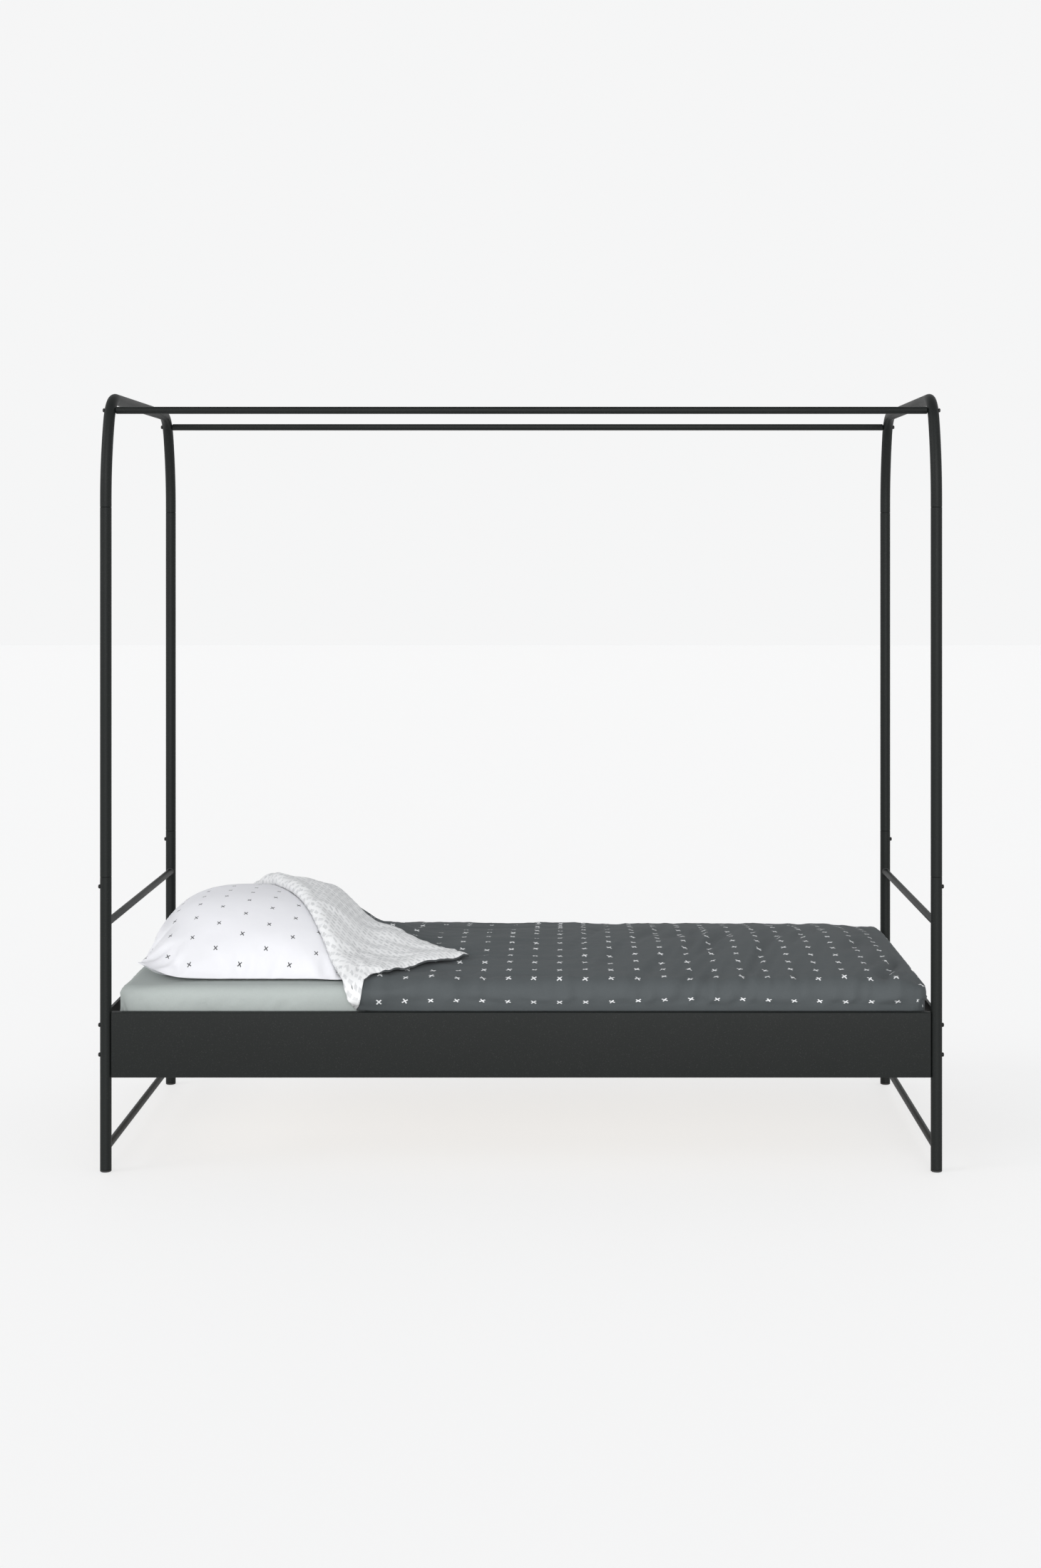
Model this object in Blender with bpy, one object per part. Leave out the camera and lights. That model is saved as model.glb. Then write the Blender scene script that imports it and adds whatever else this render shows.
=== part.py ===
"""Single four-poster bed of black steel tube, with its mattress and bedding.

Metres, +Z up. X runs along the bed with the head at -X and the foot at +X, Y runs across it with
the open front at -Y, and the origin is on the floor under the middle of the bed.
"""

import math

import bmesh
import bpy
from mathutils import Matrix, Vector

# frame
POST_SPACING_X = 2.040       # between post centres, along the bed
POST_SPACING_Y = 0.930       # between post centres, across the bed
POST_DIAMETER = 0.028
POST_WALL = 0.0015
POST_SEAM_Z = 0.724          # the upper post starts here
ARCH_SEAM_BELOW_BEND = 0.015
SPIGOT_LENGTH = 0.060        # reduced end that slips into the tube below
CANOPY_TOP_Z = 1.904         # centre line of an arch's level run
ARCH_LEG_RADIUS = 0.520      # slow inward sweep of an arch's leg
ARCH_LEG_ANGLE = math.radians(23)
ARCH_CORNER_RADIUS = 0.088   # tighter bend into the level run
CROSSBAR_DIAMETER = 0.018
CROSSBAR_WALL = 0.0012
CROSSBAR_INSERT = 0.020      # solid threaded end
CROSSBAR_CHAMFER = 0.0015
CROSSBAR_BELOW_TOP = 0.031   # centre line under the arch's level run
END_TUBE_DIAMETER = 0.018
END_TUBE_WALL = 0.0012
UPPER_END_TUBE_Z = 0.608
LOWER_END_TUBE_Z = 0.056
PANEL_BOTTOM_Z = 0.232
PANEL_HEIGHT = 0.160
PANEL_DEPTH = 0.020
PANEL_WALL = 0.0015
PANEL_END_BLOCK = 0.008      # threaded for the rail bolts
END_RAIL_DEPTH = 0.008

# fasteners and feet
BOLT_SHANK = 0.006
BOLT_HEAD = 0.0105
BOLT_HEAD_HEIGHT = 0.0042
BOLT_HOLE_CLEARANCE = 0.0003
POST_BOLT_BELOW_SEAM = 0.024
RAIL_BOLT_INSET = 0.032      # from the panel's top edge to the upper bolt
RAIL_BOLT_PITCH = 0.073
BOLT_BITE = 0.006            # thread held by the last wall
FOOT_FLANGE = 0.005
FOOT_ROUNDING = 0.0025
FOOT_STEM = 0.022

# slatted base
LEDGE_RISE = 0.0585          # ledge top above the panel's lower edge
LEDGE_THICKNESS = 0.003
LEDGE_REACH = 0.025          # inward from the panel
LEDGE_END_GAP = 0.0077       # to the panel's end block
SLAT_COUNT = 12
SLAT_WIDTH = 0.070
SLAT_THICKNESS = 0.017
SLAT_END_MARGIN = 0.045      # from the ledge's end to the first slat
SLAT_SIDE_GAP = 0.004        # to each side panel
SLAT_BEVEL = 0.002

# bedding
MATTRESS_END_GAP = 0.026     # to each end rail
MATTRESS_SIDE_GAP = 0.0175   # to each side panel
MATTRESS_THICKNESS = 0.140
MATTRESS_ROUNDING = 0.022
SHEET_THICKNESS = 0.0012
PILLOW_SIZE_X = 0.590
PILLOW_CROWN = 0.195
PILLOW_RIM = 0.055           # upper side of the seam, above the mattress
PILLOW_RIM_THICKNESS = 0.015
PILLOW_TOP_POWER = 2.5       # how squarely the crown rises from the seam
PILLOW_BASE_POWER = 6.0      # how far out the underside lies flat
PILLOW_SLOPE = 0.25          # the side under the duvet is flatter by this share
PILLOW_PEAK = -0.3           # where the slope passes through, from the middle to the head side
PILLOW_HEAD_GAP = 0.040      # to the upper end tube
PILLOW_FRONT_GAP = 0.055     # to the mattress's front edge
PILLOW_BACK_GAP = 0.120      # to the mattress's back edge
DUVET_THICKNESS = 0.025
DUVET_TUCK_DEPTH = 0.100     # below the mattress top
DUVET_TUCK_GAP = 0.003       # from the tucked hem to the side panel
DUVET_HEM = 0.260            # from the mattress's head end to the upper hem
DUVET_FOLD_START = 0.570     # from the mattress's head end to the fold, at the front edge
DUVET_FOLD_END = 0.6625      # from the mattress's front edge to the fold, at the upper hem
DUVET_TIP_X = 0.870          # from the mattress's head end to the folded-back corner
DUVET_TIP_Y = 0.1225         # from the mattress's front edge to the folded-back corner
DUVET_FLAP_RISE = 0.0275     # the folded-back layer, above the duvet's top
DUVET_RAMP = 0.120           # from the pillow's edge down to the mattress
DUVET_GAP = 0.001            # to the fitted sheet
DUVET_PILLOW_GAP = 0.008     # over the pillow, whose crown the flat cells would cut

GAP = 0.0003                 # between pieces that touch
MERGE = 0.0001               # points closer than this are one
SHARP_ANGLE = math.radians(35)
TUBE_SIDES = 16
BOLT_SIDES = 12
LEG_STEPS = 3
BEND_STEPS = 5
CORNER_STEPS = 3
PILLOW_CELLS = 12            # each way
DUVET_CELL = 0.060

postX = POST_SPACING_X / 2
postY = POST_SPACING_Y / 2
postRadius = POST_DIAMETER / 2
postBore = postRadius - POST_WALL
spigotRadius = postBore - GAP
spigotBore = spigotRadius - POST_WALL
bendStartZ = (CANOPY_TOP_Z - ARCH_LEG_RADIUS * math.sin(ARCH_LEG_ANGLE)
              - ARCH_CORNER_RADIUS * (1 - math.sin(ARCH_LEG_ANGLE)))
archSeamZ = bendStartZ - ARCH_SEAM_BELOW_BEND
endTubeRadius = END_TUBE_DIAMETER / 2
panelTopZ = PANEL_BOTTOM_Z + PANEL_HEIGHT
panelHalfLength = postX - postRadius - GAP
panelInnerY = postY - PANEL_DEPTH / 2
railHalfLength = postY - postRadius - GAP
boltHoleRadius = BOLT_SHANK / 2 + BOLT_HOLE_CLEARANCE
postBoltZ = POST_SEAM_Z - POST_BOLT_BELOW_SEAM
railBoltZ = (panelTopZ - RAIL_BOLT_INSET, panelTopZ - RAIL_BOLT_INSET - RAIL_BOLT_PITCH)
ledgeTopZ = PANEL_BOTTOM_Z + LEDGE_RISE
ledgeHalfLength = panelHalfLength - PANEL_END_BLOCK - LEDGE_END_GAP
mattressHalfX = postX - END_RAIL_DEPTH / 2 - MATTRESS_END_GAP
mattressHalfY = panelInnerY - MATTRESS_SIDE_GAP
mattressBottomZ = ledgeTopZ + SLAT_THICKNESS + 2 * GAP
mattressTopZ = mattressBottomZ + MATTRESS_THICKNESS
sheetTopZ = mattressTopZ + GAP + SHEET_THICKNESS
duvetClearance = GAP + SHEET_THICKNESS + DUVET_GAP
duvetEdgeRadius = MATTRESS_ROUNDING + duvetClearance
duvetTuckThickness = MATTRESS_SIDE_GAP - duvetClearance - DUVET_TUCK_GAP
duvetHemX = -mattressHalfX + DUVET_HEM
pillowHalfX = PILLOW_SIZE_X / 2
pillowHalfY = mattressHalfY - (PILLOW_FRONT_GAP + PILLOW_BACK_GAP) / 2
pillowX = -postX + endTubeRadius + PILLOW_HEAD_GAP + pillowHalfX
pillowY = (PILLOW_FRONT_GAP - PILLOW_BACK_GAP) / 2
pillowBottomZ = sheetTopZ + GAP

ENDS = {"head": -1, "foot": 1}
SIDES = {"front": -1, "back": 1}


# --- scene and materials ---------------------------------------------------------------------

def clear_scene():
    for obj in list(bpy.data.objects):
        bpy.data.objects.remove(obj, do_unlink=True)


def make_material(name, color, roughness, metallic=0.0):
    material = bpy.data.materials.new(name)
    material.use_nodes = True
    shader = material.node_tree.nodes["Principled BSDF"]
    shader.inputs["Base Color"].default_value = (*color, 1.0)
    shader.inputs["Roughness"].default_value = roughness
    shader.inputs["Metallic"].default_value = metallic
    return material


def make_object(name, bm, material, smooth=False, closed=True):
    """Link the bmesh as a new object; round pieces are shaded smooth between their sharp edges."""
    if closed:
        bmesh.ops.recalc_face_normals(bm, faces=bm.faces)
    mesh = bpy.data.meshes.new(name)
    bm.to_mesh(mesh)
    bm.free()
    if smooth:
        mesh.shade_smooth()
        mesh.set_sharp_from_angle(angle=SHARP_ANGLE)
    if material:
        mesh.materials.append(material)
    obj = bpy.data.objects.new(name, mesh)
    bpy.context.scene.collection.objects.link(obj)
    return obj


# --- shapes ----------------------------------------------------------------------------------

def lathe(name, profile, material, closed=True, sides=TUBE_SIDES):
    """Turn (radius, z) points about Z: a closed ring of points, or an open run from axis to axis."""
    bm = bmesh.new()
    verts = [bm.verts.new((r, 0, z)) for r, z in profile]
    edges = [bm.edges.new(pair) for pair in zip(verts, verts[1:])]
    if closed:
        edges.append(bm.edges.new((verts[-1], verts[0])))
    bmesh.ops.spin(bm, geom=verts + edges, cent=(0, 0, 0), axis=(0, 0, 1),
                   angle=2 * math.pi, steps=sides, use_merge=True)
    bmesh.ops.remove_doubles(bm, verts=bm.verts, dist=MERGE)
    return make_object(name, bm, material, smooth=True)


def box(name, size, material, bevel=0.0):
    bm = bmesh.new()
    bmesh.ops.create_cube(bm, size=1)
    bmesh.ops.scale(bm, vec=size, verts=bm.verts)
    if bevel:
        bmesh.ops.bevel(bm, geom=bm.edges[:], offset=bevel, segments=1, profile=0.5,
                        affect="EDGES", material=-1)
    return make_object(name, bm, material)


def tray(name, size, pocket, depth, material):
    """A box whose +Y face is sunk to the depth over a pocket of (x, z) size."""
    bm = bmesh.new()
    bmesh.ops.create_cube(bm, size=1)
    bmesh.ops.scale(bm, vec=size, verts=bm.verts)
    face = max(bm.faces, key=lambda f: f.calc_center_median().y)
    bmesh.ops.inset_individual(bm, faces=[face], thickness=GAP)
    for vert in face.verts:
        vert.co.x = math.copysign(pocket[0] / 2, vert.co.x)
        vert.co.z = math.copysign(pocket[1] / 2, vert.co.z)
    sunk = bmesh.ops.extrude_discrete_faces(bm, faces=[face])["faces"][0]
    bmesh.ops.translate(bm, vec=(0, -depth, 0), verts=sunk.verts)
    return make_object(name, bm, material)


def slab(name, bm, lower, upper, material):
    """Close a flat grid into a solid between two height functions of (x, y)."""
    grown = bmesh.ops.extrude_face_region(bm, geom=bm.faces[:])["geom"]
    top = {item for item in grown if isinstance(item, bmesh.types.BMVert)}
    for vert in bm.verts:
        height = upper if vert in top else lower
        vert.co.z = height(vert.co.x, vert.co.y)
    return make_object(name, bm, material, smooth=True)


def cutter(name, radius, length, matrix):
    """A guide cylinder about its own Z, which the build leaves out."""
    bm = bmesh.new()
    bmesh.ops.create_cone(bm, cap_ends=True, segments=TUBE_SIDES, radius1=radius, radius2=radius,
                          depth=length)
    obj = make_object(name, bm, None)
    obj.matrix_world = matrix
    obj.hide_render = True
    obj.display_type = "WIRE"
    return obj


def boolean(obj, other, operation="DIFFERENCE"):
    modifier = obj.modifiers.new(other.name, "BOOLEAN")
    modifier.operation = operation
    modifier.solver = "EXACT"
    modifier.object = other


def drill(obj, center, length):
    """A bolt hole along X through the object, about the centre."""
    matrix = Matrix.Translation(center) @ Matrix.Rotation(math.pi / 2, 4, "Y")
    boolean(obj, cutter(f"{obj.name}_hole_{len(obj.modifiers)}", boltHoleRadius, length, matrix))


# --- frame -----------------------------------------------------------------------------------

def lower_post(name, x, y, material):
    bottom = FOOT_FLANGE + GAP
    profile = [(postBore, bottom), (postRadius, bottom),
               (postRadius, POST_SEAM_Z - GAP), (postBore, POST_SEAM_Z - GAP)]
    post = lathe(name, profile, material)
    post.location = (x, y, 0)
    end = math.copysign(1, x)
    drill(post, (x + end * postRadius, y, postBoltZ), postRadius)
    for z in railBoltZ:
        drill(post, (x, y, z), 2 * POST_DIAMETER)
    return post


def upper_post(name, x, y, material):
    """A plain tube with a reduced, drilled spigot at its foot."""
    spigotBottom = POST_SEAM_Z - SPIGOT_LENGTH
    profile = [(spigotBore, spigotBottom), (spigotRadius, spigotBottom), (spigotRadius, POST_SEAM_Z),
               (postRadius, POST_SEAM_Z), (postRadius, archSeamZ - GAP), (postBore, archSeamZ - GAP),
               (postBore, POST_SEAM_Z + POST_WALL), (spigotBore, POST_SEAM_Z + POST_WALL)]
    post = lathe(name, profile, material)
    post.location = (x, y, 0)
    drill(post, (x + math.copysign(postRadius, x), y, postBoltZ), postRadius)
    return post


def arch_point(angle):
    """Inset from the post's line, height and lean of an arch's leg at a turned angle."""
    first = min(angle, ARCH_LEG_ANGLE)
    inset = ARCH_LEG_RADIUS * (1 - math.cos(first))
    height = bendStartZ + ARCH_LEG_RADIUS * math.sin(first)
    if angle > ARCH_LEG_ANGLE:
        inset += ARCH_CORNER_RADIUS * (math.cos(ARCH_LEG_ANGLE) - math.cos(angle))
        height += ARCH_CORNER_RADIUS * (math.sin(angle) - math.sin(ARCH_LEG_ANGLE))
    return inset, height, angle


def crossbar_inset():
    """Where the arch's centre line passes the crossbar's height."""
    sine = math.sin(ARCH_LEG_ANGLE) + (
        CANOPY_TOP_Z - CROSSBAR_BELOW_TOP - arch_point(ARCH_LEG_ANGLE)[1]) / ARCH_CORNER_RADIUS
    return arch_point(math.asin(sine))[0]


def arch(name, x, material):
    """An inverted U of tube across the bed, with a spigot at each foot."""
    leg = [(0.0, archSeamZ - SPIGOT_LENGTH, 0.0, spigotRadius), (0.0, archSeamZ, 0.0, spigotRadius),
           (0.0, archSeamZ, 0.0, postRadius)]
    angles = [ARCH_LEG_ANGLE * i / LEG_STEPS for i in range(LEG_STEPS)]
    rest = math.pi / 2 - ARCH_LEG_ANGLE
    angles += [ARCH_LEG_ANGLE + rest * i / BEND_STEPS for i in range(BEND_STEPS + 1)]
    leg += [(*arch_point(angle), postRadius) for angle in angles]
    stations = [(-postY + inset, z, -lean, r) for inset, z, lean, r in leg]
    stations += [(postY - inset, z, lean - math.pi, r) for inset, z, lean, r in reversed(leg)]
    places = [Matrix.Translation((x, y, z)) @ Matrix.Rotation(turn, 4, "X") @ Matrix.Scale(r, 4)
              for y, z, turn, r in stations]

    bm = bmesh.new()
    bmesh.ops.create_circle(bm, segments=TUBE_SIDES, radius=1, matrix=places[0])
    edges = bm.edges[:]
    for place, following in zip(places, places[1:]):
        grown = bmesh.ops.extrude_edge_only(bm, edges=edges)["geom"]
        edges = [item for item in grown if isinstance(item, bmesh.types.BMEdge)]
        ring = [item for item in grown if isinstance(item, bmesh.types.BMVert)]
        bmesh.ops.transform(bm, matrix=following @ place.inverted(), verts=ring)
    # capped only while the faces are turned outward, so that the wall grows inward
    caps = bmesh.ops.holes_fill(bm, edges=bm.edges)["faces"]
    bmesh.ops.recalc_face_normals(bm, faces=bm.faces)
    bmesh.ops.delete(bm, geom=caps, context="FACES_ONLY")
    obj = make_object(name, bm, material, smooth=True, closed=False)
    wall = obj.modifiers.new("wall", "SOLIDIFY")
    wall.thickness = POST_WALL
    wall.offset = -1
    for side in SIDES.values():
        center = (x, side * (postY - crossbar_inset()), CANOPY_TOP_Z - CROSSBAR_BELOW_TOP)
        drill(obj, center, 2 * POST_DIAMETER)
    return obj


def crossbar(name, y, material):
    half = postX - postRadius - GAP
    radius = CROSSBAR_DIAMETER / 2
    bore = radius - CROSSBAR_WALL
    end, chamfer = half - CROSSBAR_INSERT, radius - CROSSBAR_CHAMFER
    profile = [(boltHoleRadius, -half), (chamfer, -half), (radius, -half + CROSSBAR_CHAMFER),
               (radius, half - CROSSBAR_CHAMFER), (chamfer, half), (boltHoleRadius, half),
               (boltHoleRadius, end), (bore, end), (bore, -end), (boltHoleRadius, -end)]
    bar = lathe(name, profile, material)
    bar.matrix_world = (Matrix.Translation((0, y, CANOPY_TOP_Z - CROSSBAR_BELOW_TOP))
                        @ Matrix.Rotation(math.pi / 2, 4, "Y"))
    return bar


def end_tube(name, x, z, material):
    """A welded tube between two posts, its ends hollowed to the posts' curve."""
    bore = endTubeRadius - END_TUBE_WALL
    profile = [(bore, -postY), (endTubeRadius, -postY), (endTubeRadius, postY), (bore, postY)]
    tube = lathe(name, profile, material)
    tube.matrix_world = Matrix.Translation((x, 0, z)) @ Matrix.Rotation(math.pi / 2, 4, "X")
    for side, sign in SIDES.items():
        around = Matrix.Translation((x, sign * postY, z))
        boolean(tube, cutter(f"{name}_cope_{side}", postRadius + GAP, 2 * END_TUBE_DIAMETER, around))
    return tube


def side_panel(name, side, material):
    """A folded steel tray, open towards the mattress, with a drilled block in each end."""
    size = (2 * panelHalfLength, PANEL_DEPTH, PANEL_HEIGHT)
    pocket = (size[0] - 2 * PANEL_END_BLOCK, PANEL_HEIGHT - 2 * PANEL_WALL)
    panel = tray(name, size, pocket, PANEL_DEPTH - PANEL_WALL, material)
    turn = Matrix.Rotation(math.pi if side > 0 else 0, 4, "Z")
    centerZ = PANEL_BOTTOM_Z + PANEL_HEIGHT / 2
    panel.matrix_world = Matrix.Translation((0, side * postY, centerZ)) @ turn
    for end in ENDS.values():
        for z in railBoltZ:
            drill(panel, (end * panelHalfLength, side * postY, z), 3 * PANEL_END_BLOCK)
    return panel


def end_rail(name, end, material):
    """A shallow folded tray welded between an end's posts, open towards the mattress."""
    size = (2 * railHalfLength, END_RAIL_DEPTH, PANEL_HEIGHT)
    pocket = (size[0] - 2 * PANEL_WALL, PANEL_HEIGHT - 2 * PANEL_WALL)
    rail = tray(name, size, pocket, END_RAIL_DEPTH - PANEL_WALL, material)
    turn = Matrix.Rotation(end * math.pi / 2, 4, "Z")
    centerZ = PANEL_BOTTOM_Z + PANEL_HEIGHT / 2
    rail.matrix_world = Matrix.Translation((end * postX, 0, centerZ)) @ turn
    return rail


def foot_plug(name, x, y, material):
    top = FOOT_FLANGE + FOOT_STEM
    corner = [(postRadius - FOOT_ROUNDING * (1 - math.sin(a)), FOOT_ROUNDING * (1 - math.cos(a)))
              for a in (math.pi / 2 * i / CORNER_STEPS for i in range(CORNER_STEPS + 1))]
    profile = [(0, 0), *corner, (postRadius, FOOT_FLANGE), (spigotRadius, FOOT_FLANGE),
               (spigotRadius, top), (0, top)]
    plug = lathe(name, profile, material, closed=False)
    plug.location = (x, y, 0)
    return plug


def bolt(name, point, end, length, material):
    """A button-head bolt whose seat is at the point, driven along X from the bed's end."""
    head, shank = BOLT_HEAD / 2, BOLT_SHANK / 2
    dome = [(head * math.cos(a), BOLT_HEAD_HEIGHT * math.sin(a))
            for a in (math.pi / 2 * i / CORNER_STEPS for i in range(CORNER_STEPS))]
    profile = [(0, -length), (shank, -length), (shank, 0), *dome, (0, BOLT_HEAD_HEIGHT)]
    obj = lathe(name, profile, material, closed=False, sides=BOLT_SIDES)
    obj.matrix_world = Matrix.Translation(point) @ Matrix.Rotation(end * math.pi / 2, 4, "Y")
    return obj


def bolts(material):
    seat = postX + postRadius + GAP
    through = POST_DIAMETER + 2 * GAP
    for endName, end in ENDS.items():
        for sideName, side in SIDES.items():
            corner = f"{endName}_{sideName}"
            barY = side * (postY - crossbar_inset())
            bolt(f"crossbar_bolt_{corner}", (end * seat, barY, CANOPY_TOP_Z - CROSSBAR_BELOW_TOP),
                 end, through + 2 * BOLT_BITE, material)
            bolt(f"post_bolt_{corner}", (end * seat, side * postY, postBoltZ), end,
                 2 * POST_WALL + GAP + BOLT_BITE, material)
            for level, z in zip(("upper", "lower"), railBoltZ):
                bolt(f"rail_bolt_{corner}_{level}", (end * seat, side * postY, z), end,
                     through + BOLT_BITE, material)


# --- slatted base ----------------------------------------------------------------------------

def slat_ledge(name, side, material):
    """A steel angle that stands on the panel's lower flange and reaches inward under the slats."""
    outer = panelInnerY + 2 * LEDGE_THICKNESS
    inner = panelInnerY - LEDGE_REACH
    foot = PANEL_BOTTOM_Z + PANEL_WALL + GAP
    under = ledgeTopZ - LEDGE_THICKNESS
    outline = [(outer, foot), (outer, ledgeTopZ), (inner, ledgeTopZ), (inner, under),
               (outer - LEDGE_THICKNESS, under), (outer - LEDGE_THICKNESS, foot)]
    bm = bmesh.new()
    face = bm.faces.new([bm.verts.new((-ledgeHalfLength, side * y, z)) for y, z in outline])
    grown = bmesh.ops.extrude_face_region(bm, geom=[face])["geom"]
    far = [item for item in grown if isinstance(item, bmesh.types.BMVert)]
    bmesh.ops.translate(bm, vec=(2 * ledgeHalfLength, 0, 0), verts=far)
    return make_object(name, bm, material)


def slats(material):
    length = 2 * (panelInnerY - SLAT_SIDE_GAP)
    first = -ledgeHalfLength + SLAT_END_MARGIN + SLAT_WIDTH / 2
    for i in range(SLAT_COUNT):
        slat = box(f"slat_{i + 1:02d}", (SLAT_WIDTH, length, SLAT_THICKNESS), material, SLAT_BEVEL)
        x = first * (1 - 2 * i / (SLAT_COUNT - 1))
        slat.location = (x, 0, ledgeTopZ + GAP + SLAT_THICKNESS / 2)


# --- bedding ---------------------------------------------------------------------------------

def rounded_block(size, rounding):
    bm = bmesh.new()
    bmesh.ops.create_cube(bm, size=1)
    bmesh.ops.scale(bm, vec=size, verts=bm.verts)
    bmesh.ops.bevel(bm, geom=bm.edges[:], offset=rounding, segments=CORNER_STEPS, profile=0.5,
                    affect="EDGES", material=-1)
    return bm


def mattress(material):
    size = (2 * mattressHalfX, 2 * mattressHalfY, MATTRESS_THICKNESS)
    obj = make_object("mattress", rounded_block(size, MATTRESS_ROUNDING), material, smooth=True)
    obj.location.z = mattressBottomZ + MATTRESS_THICKNESS / 2


def fitted_sheet(material):
    """A thin cover over the mattress, open underneath."""
    grow = GAP + SHEET_THICKNESS
    size = [2 * (half + grow) for half in (mattressHalfX, mattressHalfY, MATTRESS_THICKNESS / 2)]
    bm = rounded_block(size, MATTRESS_ROUNDING + grow)
    bmesh.ops.bisect_plane(bm, geom=bm.verts[:] + bm.edges[:] + bm.faces[:],
                           plane_co=(0, 0, MATTRESS_ROUNDING - MATTRESS_THICKNESS / 2),
                           plane_no=(0, 0, -1), clear_outer=True)
    sheet = make_object("fitted_sheet", bm, material, smooth=True)
    sheet.location.z = mattressBottomZ + MATTRESS_THICKNESS / 2
    wall = sheet.modifiers.new("cloth", "SOLIDIFY")
    wall.thickness = SHEET_THICKNESS
    wall.offset = -1
    wall.use_even_offset = True


def pillow_share(x, y):
    """Position inside the pillow's outline, from -1 to 1 each way."""
    return (x - pillowX) / pillowHalfX, (y - pillowY) / pillowHalfY


def pillow_top(x, y):
    u, v = pillow_share(x, y)
    crown = (1 - abs(u) ** PILLOW_TOP_POWER) * (1 - abs(v) ** PILLOW_TOP_POWER)
    crown *= 1 - PILLOW_SLOPE * (u - PILLOW_PEAK)
    return pillowBottomZ + PILLOW_RIM + (PILLOW_CROWN - PILLOW_RIM) * crown


def pillow_underside(x, y):
    """Flat on the mattress, and turning up to the seam at the edge."""
    u, v = pillow_share(x, y)
    rise = 1 - (1 - abs(u) ** PILLOW_BASE_POWER) * (1 - abs(v) ** PILLOW_BASE_POWER)
    return pillowBottomZ + (PILLOW_RIM - PILLOW_RIM_THICKNESS) * rise


def pillow(material):
    bm = bmesh.new()
    bmesh.ops.create_grid(bm, x_segments=PILLOW_CELLS, y_segments=PILLOW_CELLS, size=0.5)
    bmesh.ops.scale(bm, vec=(2 * pillowHalfX, 2 * pillowHalfY, 1), verts=bm.verts)
    bmesh.ops.translate(bm, vec=(pillowX, pillowY, 0), verts=bm.verts)
    slab("pillow", bm, pillow_underside, pillow_top, material)


def smoothstep(share):
    share = min(max(share, 0), 1)
    return share * share * (3 - 2 * share)


def duvet_underside(x, y):
    """Height of the duvet's lower face: over the pillow, then a ramp down to the mattress."""
    beyondX = max(0, x - pillowX - pillowHalfX)
    beyondY = max(0, abs(y - pillowY) - pillowHalfY)
    beyond = math.hypot(beyondX, beyondY)
    if beyond:
        lift = pillowBottomZ + PILLOW_RIM + DUVET_PILLOW_GAP - sheetTopZ - DUVET_GAP
        return sheetTopZ + DUVET_GAP + lift * (1 - smoothstep(beyond / DUVET_RAMP))
    return pillow_top(x, y) + DUVET_PILLOW_GAP


def over_edge(half):
    """Stations past the flat top: how far out and how far down, and whether they are tucked in."""
    stations = []
    for i in range(1, CORNER_STEPS + 1):
        turn = math.pi / 2 * i / CORNER_STEPS
        stations.append((half - duvetEdgeRadius * (1 - math.sin(turn)),
                         duvetEdgeRadius * (1 - math.cos(turn)), i == CORNER_STEPS))
    return stations + [(half, DUVET_TUCK_DEPTH, True)]


def duvet_stations():
    """Along and across the duvet, each grid line's position, fall and whether it is tucked in."""
    halfX, halfY = mattressHalfX + duvetClearance, mattressHalfY + duvetClearance
    flatX, flatY = halfX - duvetEdgeRadius, halfY - duvetEdgeRadius
    countX = round((flatX - duvetHemX) / DUVET_CELL)
    countY = round(2 * flatY / DUVET_CELL)
    along = [(duvetHemX + (flatX - duvetHemX) * i / countX, 0, False) for i in range(countX + 1)]
    across = [(-flatY + 2 * flatY * i / countY, 0, False) for i in range(countY + 1)]
    sides = over_edge(halfY)
    return (along + over_edge(halfX),
            [(-y, *rest) for y, *rest in reversed(sides)] + across + sides)


def fold_line():
    """A point on the fold and its direction, from the front edge to the upper hem."""
    start = Vector((-mattressHalfX + DUVET_FOLD_START, -mattressHalfY, 0))
    return start, Vector((duvetHemX, -mattressHalfY + DUVET_FOLD_END, 0)) - start


def cut_away(bm, point, direction, side):
    """Cut with the upright plane along the direction, and drop what is on the side's hand."""
    normal = side * Vector((direction.y, -direction.x, 0))
    bmesh.ops.bisect_plane(bm, geom=bm.verts[:] + bm.edges[:] + bm.faces[:], dist=MERGE,
                           plane_co=point, plane_no=normal, clear_outer=True)


def duvet_fold():
    """The folded-back corner as a wedge that starts inside the duvet and is joined to it."""
    start, direction = fold_line()
    tip = Vector((-mattressHalfX + DUVET_TIP_X, -mattressHalfY + DUVET_TIP_Y, 0))
    end = start + direction
    cells = round(2 * mattressHalfX / DUVET_CELL)
    bm = bmesh.new()
    bmesh.ops.create_grid(bm, x_segments=cells, y_segments=cells, size=mattressHalfX)
    cut_away(bm, start, direction, -1)
    cut_away(bm, start, tip - start, 1)
    cut_away(bm, end, tip - end, -1)
    cut_away(bm, Vector((0, duvetEdgeRadius - mattressHalfY, 0)), Vector((1, 0, 0)), 1)
    obj = slab("duvet_fold", bm, lambda x, y: duvet_underside(x, y) + DUVET_THICKNESS / 2,
               lambda x, y: duvet_underside(x, y) + DUVET_THICKNESS + DUVET_FLAP_RISE, None)
    obj.hide_render = True
    obj.display_type = "WIRE"
    return obj


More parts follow.
